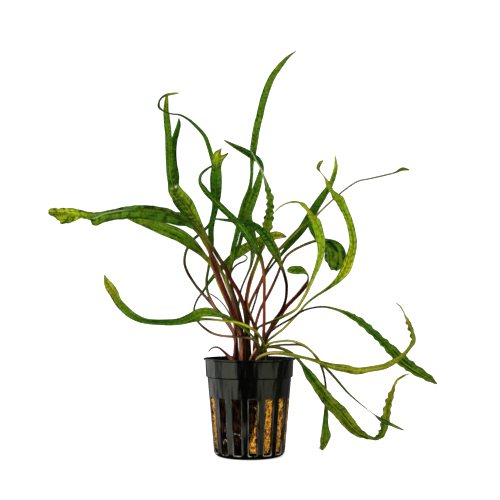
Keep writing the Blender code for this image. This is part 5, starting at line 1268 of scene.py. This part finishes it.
def upper_profile():
    """(radius, height) from the top of the slotted wall up to the lip, and back down inside."""
    step_foot = COLLAR_FOOT - STEP_HEIGHT
    lip_foot = POT_HEIGHT - LIP_THICKNESS
    mouth = COLLAR_TOP_RADIUS - WALL
    wall = [(body_radius(height), height) for height in (BAND_TOP, 38.5, 41, step_foot - 0.9)]
    step = [(BODY_TOP_RADIUS - 0.03, step_foot - 0.25), (BODY_TOP_RADIUS + 0.02, step_foot + 0.15)]
    step += arc((COLLAR_FOOT_RADIUS - STEP_EASE, COLLAR_FOOT - 0.1), STEP_EASE, -70, 0, 4)
    collar = [(COLLAR_FOOT_RADIUS + 0.02, COLLAR_FOOT + 0.6)]
    for share in (0.25, 0.5, 0.75, 0.93):
        height = COLLAR_FOOT + share * (POT_HEIGHT - LIP_THICKNESS - COLLAR_FOOT)
        collar.append((COLLAR_FOOT_RADIUS + share * (COLLAR_TOP_RADIUS - COLLAR_FOOT_RADIUS), height))
    lip = [(COLLAR_TOP_RADIUS, lip_foot - 0.25), (COLLAR_TOP_RADIUS + 0.12, lip_foot)]
    lip += arc((LIP_RADIUS - LIP_EASE, lip_foot + LIP_EASE), LIP_EASE, -90, 0, 3)
    lip += arc((LIP_RADIUS - LIP_EASE, POT_HEIGHT - LIP_EASE), LIP_EASE, 0, 90, 4)
    lip += arc((mouth + LIP_EASE, POT_HEIGHT - LIP_EASE), LIP_EASE, 90, 180, 4)
    inside = [(mouth - 0.05, 51), (COLLAR_FOOT_RADIUS - WALL, COLLAR_FOOT + WALL + 0.4)]
    inside += [(COLLAR_FOOT_RADIUS - WALL - 0.15, COLLAR_FOOT + WALL)]
    inside += [(BODY_TOP_RADIUS - WALL, step_foot + 0.2)]
    inside += [(inner_radius(height), height) for height in (step_foot - 0.5, 40, BAND_TOP)]
    return wall + step + collar + lip + inside


def floor_profile():
    """(radius, height) from the foot of the slotted wall, inside, to the middle of the floor."""
    size = CORNER_RADIUS - WALL
    corner = (BODY_FOOT_RADIUS - WALL - size, FLOOR + size)
    start = math.degrees(math.asin((FLOOR + size - BAND_FOOT) / size))
    return arc(corner, size, -start, -90, 4) + [(12, FLOOR), (6, FLOOR), (0, FLOOR)]


def build_pot():
    """The moulded pot: turned foot, slotted wall, collar and lip, and the inside down to the floor."""
    points, faces = [], []
    build_turned(points, faces, foot_profile())
    edge_highlight = [0] * len(points)
    edge_highlight += build_slotted_band(points, faces)
    build_turned(points, faces, upper_profile())
    build_turned(points, faces, floor_profile())
    edge_highlight += [0] * (len(points) - len(edge_highlight))
    pot = add_mesh("pot_moulding", points, faces, plastic_material(), {"edge_highlight": edge_highlight})
    face_outwards(pot, weld=WELD)
    pot.data.set_sharp_from_angle(angle=math.radians(POT_EDGES))
    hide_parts("pot")
    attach(pot, "root")


def plastic_material():
    """Black polypropylene, injection moulded: a satin skin that reflects the lights in long, uneven stripes.

    Its wall is slightly hollow and has flow marks. It is dusty, and has painted highlights along the slots'
    outer edges.
    """
    made, tree, surface = new_material("black_polypropylene", ior=1.5, specular_ior_level=0.4,
                                       specular_tint=linear(POT_SHINE))
    place = add(tree, "TexCoord", give="Object")
    tall = add(tree, "Mapping", {"Vector": place, "Scale": (1, 1, 0.25)})
    flow = add(tree, "TexNoise", {"Vector": tall, "Scale": 1 / (FLOW_MARKS * MM), "Detail": 4.0})
    tone = add(tree, "ValToRGB", {"Fac": flow}, stops=POT_BLACK)
    dust = add(tree, "TexNoise", {"Vector": place, "Scale": 1 / (DUST_GRAINS * MM), "Detail": 3.0})
    dust = add(tree, "MapRange", {"Value": dust, "From Min": 0.6, "From Max": 0.8, "To Max": 0.015})
    tone = add(tree, "Mix", {0: dust, 6: tone, 7: linear(POT_DUST)}, 2, data_type="RGBA")
    # Painted highlights along the slots' outer edges, broken into patches, as pale lines brightest at the
    # slots' feet.
    highlight_patches = add(tree, "TexNoise", {"Vector": tall, "Scale": 1 / (HIGHLIGHT_PATCH_SIZE * MM), "Detail": 2.0})
    highlight_patches = add(tree, "MapRange", {"Value": highlight_patches, "From Min": 0.4, "From Max": 0.65, "To Max": 0.9})
    edge_highlight = add(tree, "Attribute", give="Fac", attribute_name="edge_highlight")
    edge_highlight = add(tree, "Math", {0: highlight_patches, 1: edge_highlight}, operation="MULTIPLY")
    tone = add(tree, "Mix", {0: edge_highlight, 6: tone, 7: linear(POT_EDGE_HIGHLIGHT)}, 2, data_type="RGBA")
    tree.links.new(tone, surface.inputs["Base Color"])
    # The floor inside is moulded against polished steel.
    height = add(tree, "SeparateXYZ", {0: place}, "Z")
    polish = add(tree, "MapRange", {"Value": height, "From Min": 1.6 * MM, "From Max": 2.2 * MM,
                                    "To Min": 1.0, "To Max": 0.0})
    satin = add(tree, "MapRange", {"Value": flow, "From Min": 0.3, "From Max": 0.7,
                                   "To Min": 0.14, "To Max": 0.32})
    satin = add(tree, "Mix", {0: polish, 2: satin, 3: 0.08})
    # The mouth's inside is scuffed by the filling and reflects hardly anything.
    flat = add(tree, "VectorMath", {0: place, 1: (1, 1, 0)}, operation="MULTIPLY")
    away = add(tree, "VectorMath", {0: flat}, "Value", operation="LENGTH")
    inside = add(tree, "Math", {0: away, 1: (COLLAR_FOOT_RADIUS - WALL / 2) * MM}, operation="LESS_THAN")
    above = add(tree, "Math", {0: height, 1: COLLAR_FOOT * MM}, operation="GREATER_THAN")
    scuffed = add(tree, "Math", {0: inside, 1: above}, operation="MULTIPLY")
    satin = add(tree, "Mix", {0: scuffed, 2: satin, 3: 0.9})
    tree.links.new(satin, surface.inputs["Roughness"])
    # The mould's fine texture over slow hollows
    fine = add(tree, "TexNoise", {"Vector": place, "Scale": 1 / (MOULD_TEXTURE * MM)})
    slow = add(tree, "TexNoise", {"Vector": tall, "Scale": 1 / (SINK_HOLLOWS * MM), "Detail": 2.0})
    relief = add(tree, "Math", {0: fine, 1: 0.015, 2: slow}, operation="MULTIPLY_ADD")
    plain = add(tree, "Math", {0: 1.0, 1: polish}, operation="SUBTRACT", use_clamp=True)
    relief = add(tree, "Bump", {"Height": relief, "Distance": 2.2 * MM, "Strength": plain})
    tree.links.new(relief, surface.inputs["Normal"])
    return made


# ---------------------------------------------------------------- filling

def fill_radius(height):
    """The filling's radius, a little inside the wall."""
    return body_radius(height) - WALL - FILL_CLEARANCE


def seam_shift(height):
    """Degrees by which the wool's lower part laps over the roots at the front."""
    return SEAM_LAP * (1 - smoothstep(8, 25, height))


def slot_bulge(bearing, height):
    """How far the packing presses out into a slot, at its middle and towards its top."""
    pitch = 360 / SLOT_COUNT
    off = abs((bearing - SLOT_FIRST + pitch / 2) % pitch - pitch / 2)
    return smoothstep(6.1, 4.4, off) * smoothstep(3, 8, height) * smoothstep(34, 32, height)


def build_clod(name, node, outside, inside, start, end, material, grain, depth, bulge, steps=260):
    """A block of filling between two radii and two bearings, with a lumpy surface of clumps and tufts."""
    heights = np.linspace(FILL_FOOT, FILL_TOP, 70)
    top = [(share, 1) for share in np.linspace(0.06, 1, 14)]
    foot = [(share, -1) for share in np.linspace(1, 0.06, 14)]
    points = []
    for step in range(steps + 1):
        bearing = start + (end - start) * step / steps
        core = inside(bearing)
        section = [(outside(bearing, height), height, 1, 0) for height in heights]
        section += [(section[-1][0] * (1 - share) + core * share, FILL_TOP, 0, up) for share, up in top]
        section += [(core, height, 0, 0) for height in (30, 17)]
        section += [(section[0][0] * (1 - share) + core * share, FILL_FOOT, 0, up) for share, up in foot]
        for radius, height, out, up in section:
            near = max(0, 1 - abs((bearing - ROOTS_TO + 180) % 360 - 180) / SEAM_REACH)
            turned = math.radians(bearing - seam_shift(height) * near - 90)
            place = Vector((radius * math.cos(turned), radius * math.sin(turned), height))
            lump = depth * noise.fractal(place / grain, 0.7, 2.1, 4)
            pushed = slot_bulge(math.degrees(turned) + 90, height) * bulge
            radius += (min(lump, 0.3) + pushed) * out
            height -= FOOT_SAG * smoothstep(FILL_FOOT + 4, FILL_FOOT, height) * smoothstep(9, 16, radius)
            height += min(lump, 0.5) * up
            points.append((radius * math.cos(turned), radius * math.sin(turned), height))
    size = len(section)
    faces = [tuple(range(size)), tuple(range(steps * size, steps * size + size))]
    for step in range(steps):
        for corner in range(size):
            here, beside = step * size + corner, step * size + (corner + 1) % size
            faces.append((here, here + size, beside + size, beside))
    clod = add_mesh(name, points, faces, material)
    face_outwards(clod)
    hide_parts(node)
    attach(clod, "root")


def tube(points, faces, path, radii, sides):
    """Adds a thin closed tube along a path to a mesh's points and faces."""
    path = np.asarray(path, float)
    along = unit(np.gradient(path, axis=0))
    level = np.where(np.abs(along[:, 2:3]) > 0.9, (1.0, 0, 0), (0, 0, 1.0))
    side = unit(np.cross(along, level))
    up = np.cross(side, along)
    start = len(points)
    for place, a, b, radius in zip(path, side, up, radii):
        for corner in range(sides):
            angle = 2 * math.pi * corner / sides
            points.append(place + radius * (a * math.cos(angle) + b * math.sin(angle)))
    for ring in range(len(path) - 1):
        for corner in range(sides):
            here = start + ring * sides + corner
            beside = start + ring * sides + (corner + 1) % sides
            faces.append((here, beside, beside + sides, here + sides))
    faces.append(tuple(range(start + sides - 1, start - 1, -1)))
    faces.append(tuple(range(len(points) - sides, len(points))))


def strand_path(draws, bearing, height, length, lean, sway, lift, bulge, steps=9):
    """A fibre or root lying on the filling's side: it leans and sways, lift clear of the filling."""
    path = []
    phase = draws.uniform(0, 6)
    for share in np.linspace(-0.5, 0.5, steps):
        up = height + length * share * math.cos(lean) + sway * 0.4 * math.sin(4 * share + phase)
        up = min(max(up, FILL_FOOT - 0.8), FILL_TOP + 0.3)
        radius = fill_radius(up) + 0.25 * math.sin(7 * share + phase)
        turn = math.degrees((length * share * math.sin(lean) + sway * math.sin(5 * share + phase)) / radius)
        radius += lift + bulge * slot_bulge(bearing + turn, up)
        angle = math.radians(bearing + turn - 90)
        path.append((radius * math.cos(angle), radius * math.sin(angle), up))
    return path


def build_strands(name, material, paths, radius, sides):
    """Many thin strands as one piece: paths holds each one's path and size. Each tapers to both ends."""
    points, faces = [], []
    for path, size in paths:
        shares = np.sin(math.pi * np.linspace(0.08, 0.92, len(path)))
        tube(points, faces, path, radius * size * (0.35 + 0.65 * shares), sides)
    strands = add_mesh(name, points, faces, material)
    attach(strands, "root")


def build_filling():
    """Wool wrapped round the roots, open at the front left, with its loose fibres and the fine roots."""
    draws = np.random.RandomState(7)

    def core(bearing):
        """The wool's inner radius."""
        return fill_radius(FILL_TOP) - WRAP_THICKNESS

    def wool_side(bearing, height):
        """The wool's outer radius."""
        return fill_radius(height) - 0.05

    def root_side(bearing, height):
        """The roots' outer radius, which reaches the pot's wall where the wool is open."""
        inside = smoothstep(ROOTS_FROM, ROOTS_FROM + 2, bearing)
        inside = inside * smoothstep(ROOTS_TO, ROOTS_TO - 2, bearing)
        return core(bearing) - 1 + inside * (fill_radius(height) - 0.3 - core(bearing) + 1)

    build_clod("mineral_wool_wrap", "mineral_wool", wool_side, core, ROOTS_TO + SEAM,
               ROOTS_FROM + 360 - SEAM, wool_material("rock_wool", ROCK_WOOL), grain=2.0, depth=1.3,
               bulge=1.2)
    build_clod("root_ball_mass", "root_ball", root_side, lambda bearing: ROOTS_CORE, ROOTS_TO - 360,
               ROOTS_TO, root_material("peaty_roots", PEATY_ROOTS), grain=2.4, depth=1.6, bulge=0.5)

    fibres = []
    for _ in range(WOOL_FIBRES):
        bearing = draws.uniform(ROOTS_TO + 3, ROOTS_FROM + 357)
        height = draws.uniform(FILL_FOOT, FILL_TOP)
        bearing -= seam_shift(height) * max(0, 1 - (bearing - ROOTS_TO) / SEAM_REACH)
        path = strand_path(draws, bearing, height, length=draws.uniform(2.5, 8),
                           lean=draws.uniform(-1.5, 1.5), sway=draws.uniform(0, 1.2),
                           lift=draws.uniform(-0.1, 0.3), bulge=1.15)
        fibres.append((path, draws.uniform(0.6, 1.3)))
    made = wool_material("loose_rock_wool", LOOSE_WOOL)
    build_strands("wool_fibres", made, fibres, FIBRE_RADIUS, 3)

    roots = []
    for _ in range(BROWN_ROOTS):
        height = draws.uniform(6, 40)
        bearing = draws.uniform(ROOTS_FROM - 2, ROOTS_TO + 2 - seam_shift(height))
        path = strand_path(draws, bearing, height, length=draws.uniform(8, 26), lean=draws.normal(0, 0.3),
                           sway=draws.uniform(0.3, 1.4), lift=draws.uniform(-0.3, 0.3), bulge=0.5, steps=12)
        roots.append((path, draws.uniform(0.5, 1.5)))
    made = root_material("root_bark", BROWN_BARK)
    build_strands("brown_roots", made, roots, BROWN_ROOT_RADIUS, 5)

    loops = []
    for bearing, height, wide, tall in WHITE_ROOTS:
        path = []
        for share in np.linspace(-0.75, 0.55, 16):
            up = height + tall * math.cos(math.pi * share)
            radius = fill_radius(up) + 0.9 + 0.3 * math.sin(5 * share)
            aside = wide * math.sin(math.pi * share) + 0.5 * wide * share
            angle = math.radians(bearing - 90) + aside / radius
            path.append((radius * math.cos(angle), radius * math.sin(angle), up))
        loops.append((path, 1))
    made = root_material("young_root", YOUNG_ROOT)
    build_strands("white_roots", made, loops, WHITE_ROOT_RADIUS, 6)


def fibrous_material(name, stops, clump, fibre, stretch, relief, twist, dull, shine=0.2):
    """Spun or grown fibres that clump, painted light on clumps, painted shade in gaps. clump and fibre are
    their sizes.
    """
    made, tree, surface = new_material(name, roughness=dull, ior=1.5, specular_ior_level=shine)
    place = add(tree, "TexCoord", give="Object")
    drawn = add(tree, "Mapping", {"Vector": place, "Scale": (1, 1, stretch)})
    fibres = add(tree, "TexNoise", {"Vector": drawn, "Scale": 1 / (fibre * MM), "Detail": 4.0,
                                    "Distortion": twist})
    clumps = add(tree, "TexNoise", {"Vector": place, "Scale": 1 / (clump * MM), "Detail": 3.0,
                                    "Distortion": 1.0})
    # The tone, high on the clumps and low in the gaps, gives painted light and painted shade as well as the
    # bumps
    tone = add(tree, "Math", {0: fibres, 1: clumps}, operation="ADD")
    tone = add(tree, "MapRange", {"Value": tone, "From Min": 0.7, "From Max": 1.3})
    colour = add(tree, "ValToRGB", {"Fac": tone}, stops=stops)
    tree.links.new(colour, surface.inputs["Base Color"])
    relief = add(tree, "Bump", {"Height": tone, "Distance": relief * MM})
    tree.links.new(relief, surface.inputs["Normal"])
    return made


def wool_material(name, stops):
    """Mineral wool, spun from melted rock, then soaked and stained: matt golden tufts, painted light on top,
    painted shade in gaps.

    Its fibres are hundredths of a millimetre wide and are drawn 1.2 mm wide, as finer ones wouldn't show.
    """
    return fibrous_material(name, stops, clump=2.6, fibre=1.2, stretch=0.5, relief=0.9, twist=1.8, dull=0.85)


def root_material(name, stops):
    """Roots and old peat: dark brown, fibrous and moist, so it keeps a dull shine."""
    return fibrous_material(name, stops, clump=6.0, fibre=1.6, stretch=0.25, relief=0.4, twist=1.0,
                            dull=0.6, shine=0.05)


def build_crown():
    """The crown: a low knot of old petiole bases, lobed and ridged."""
    points, faces = [], []
    rings, sides = CROWN_RINGS, CROWN_SIDES
    for ring in range(rings):
        share = ring / (rings - 1)
        radius = CROWN_RADIUS * math.sin(math.pi * min(0.5 + share * 0.5, 1)) if ring else CROWN_RADIUS
        height = FILL_TOP + 0.2 + (CROWN_TOP - FILL_TOP - 0.4) * math.sin(math.pi / 2 * share) ** 0.8
        for side in range(sides):
            angle = 2 * math.pi * side / sides
            lobes = 1 - CROWN_LOBE_DEPTH * abs(math.sin(CROWN_LOBES / 2 * angle)) * (1 - share)
            place = Vector((radius * lobes * math.cos(angle), radius * lobes * math.sin(angle), height))
            place.z += 0.5 * noise.fractal(place / 2.2, 0.7, 2.1, 3) - 0.35
            points.append(place)
    for ring in range(rings - 1):
        for side in range(sides):
            here = ring * sides + side
            beside = ring * sides + (side + 1) % sides
            faces.append((here, beside, beside + sides, here + sides))
    faces.append(tuple(range(sides - 1, -1, -1)))
    faces.append(tuple(range((rings - 1) * sides, rings * sides)))
    crown = add_mesh("crown_knot", points, faces, root_material("petiole_bases", PETIOLE_BASES))
    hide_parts("crown")
    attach(crown, "root")


# ---------------------------------------------------------------- studio

def build_stage():
    """A plain pale floor and, behind it, a backdrop, both of matt studio paper that glows a little.

    Neither shows in reflections, as if black flags stood round the plant.
    """
    made, _, surface = new_material("pale_paper", roughness=0.9)
    surface.inputs["Base Color"].default_value = linear(PALE_PAPER)
    surface.inputs["Emission Color"].default_value = linear(WHITE)
    surface.inputs["Emission Strength"].default_value = PAPER_GLOW
    corners = [(-PAPER_WIDTH, -PAPER_WIDTH), (PAPER_WIDTH, -PAPER_WIDTH), (PAPER_WIDTH, BACKDROP_FOOT),
               (-PAPER_WIDTH, BACKDROP_FOOT)]
    floor = add_mesh("floor_paper", [(x, y, 0) for x, y in corners], [(0, 1, 2, 3)], made)
    floor.visible_shadow = False
    bend = arc((BACKDROP_FOOT, BACKDROP_BEND), BACKDROP_BEND, -90, 0, 11)
    bend.append((BACKDROP_FOOT + BACKDROP_BEND, BACKDROP_HEIGHT))
    points = [(x, y, z) for y, z in bend for x in (-PAPER_WIDTH, PAPER_WIDTH)]
    faces = [(2 * i, 2 * i + 1, 2 * i + 3, 2 * i + 2) for i in range(len(bend) - 1)]
    backdrop = add_mesh("backdrop_paper", points, faces, made, smooth_angle=60)
    floor.visible_glossy = backdrop.visible_glossy = False


def softbox(name, bearing, height, distance, size, radiance, tint, glossy):
    """A rectangular soft light that faces the plant, at a bearing in degrees to the right of the front.

    Its other measures are in metres. glossy says whether it shows in reflections.
    """
    light = bpy.data.lights.new(name, "AREA")
    light.shape = "RECTANGLE"
    light.size, light.size_y = size
    light.energy = radiance * math.pi * size[0] * size[1]
    light.color = tint
    lamp = bpy.data.objects.new(name, light)
    bpy.context.scene.collection.objects.link(lamp)
    angle = math.radians(bearing - 90)
    place = Vector((distance * math.cos(angle), distance * math.sin(angle), height))
    lamp.location = place
    lamp.rotation_euler = (Vector((0, 0, LIT_HEIGHT)) - place).to_track_quat("-Z", "Y").to_euler()
    lamp.visible_glossy = glossy
    lamp.visible_camera = False


def build_studio():
    """Camera at the viewer's eye, tall softboxes round both sides, one overhead, and a dim room.

    The camera sees the room as white.
    """
    camera = bpy.data.objects.new("viewer", bpy.data.cameras.new("viewer"))
    bpy.context.scene.collection.objects.link(camera)
    camera.data.sensor_width = SENSOR_WIDTH
    camera.data.lens = FOCAL_PIXELS / PICTURE_PIXELS * SENSOR_WIDTH
    camera.data.clip_start, camera.data.clip_end = 0.01, 20
    place = Vector((VIEW_OFFSET, EYE[1], EYE[2])) * MM
    aim = Vector((VIEW_OFFSET, 0, AIM_HEIGHT)) * MM
    camera.location = place
    camera.rotation_euler = (aim - place).to_track_quat("-Z", "Y").to_euler()
    bpy.context.scene.camera = camera

    for settings in SOFTBOXES:
        softbox(*settings)
    world = bpy.data.worlds.new("studio_room")
    bpy.context.scene.world = world
    world.use_nodes = True
    tree = world.node_tree
    seen = add(tree, "LightPath", give="Is Camera Ray")
    shade = tree.nodes["Background"]
    shade.inputs["Color"].default_value = linear(WHITE)
    dim = add(tree, "MapRange", {"Value": seen, "To Min": ROOM_LIGHT, "To Max": 1.0})
    tree.links.new(dim, shade.inputs["Strength"])
    bpy.context.scene.view_settings.view_transform = "Standard"


build_studio()
build_stage()
build_pot()
build_filling()
build_crown()
for leaf_name, leaf in PLANT.items():
    build_leaf(leaf_name, **leaf)
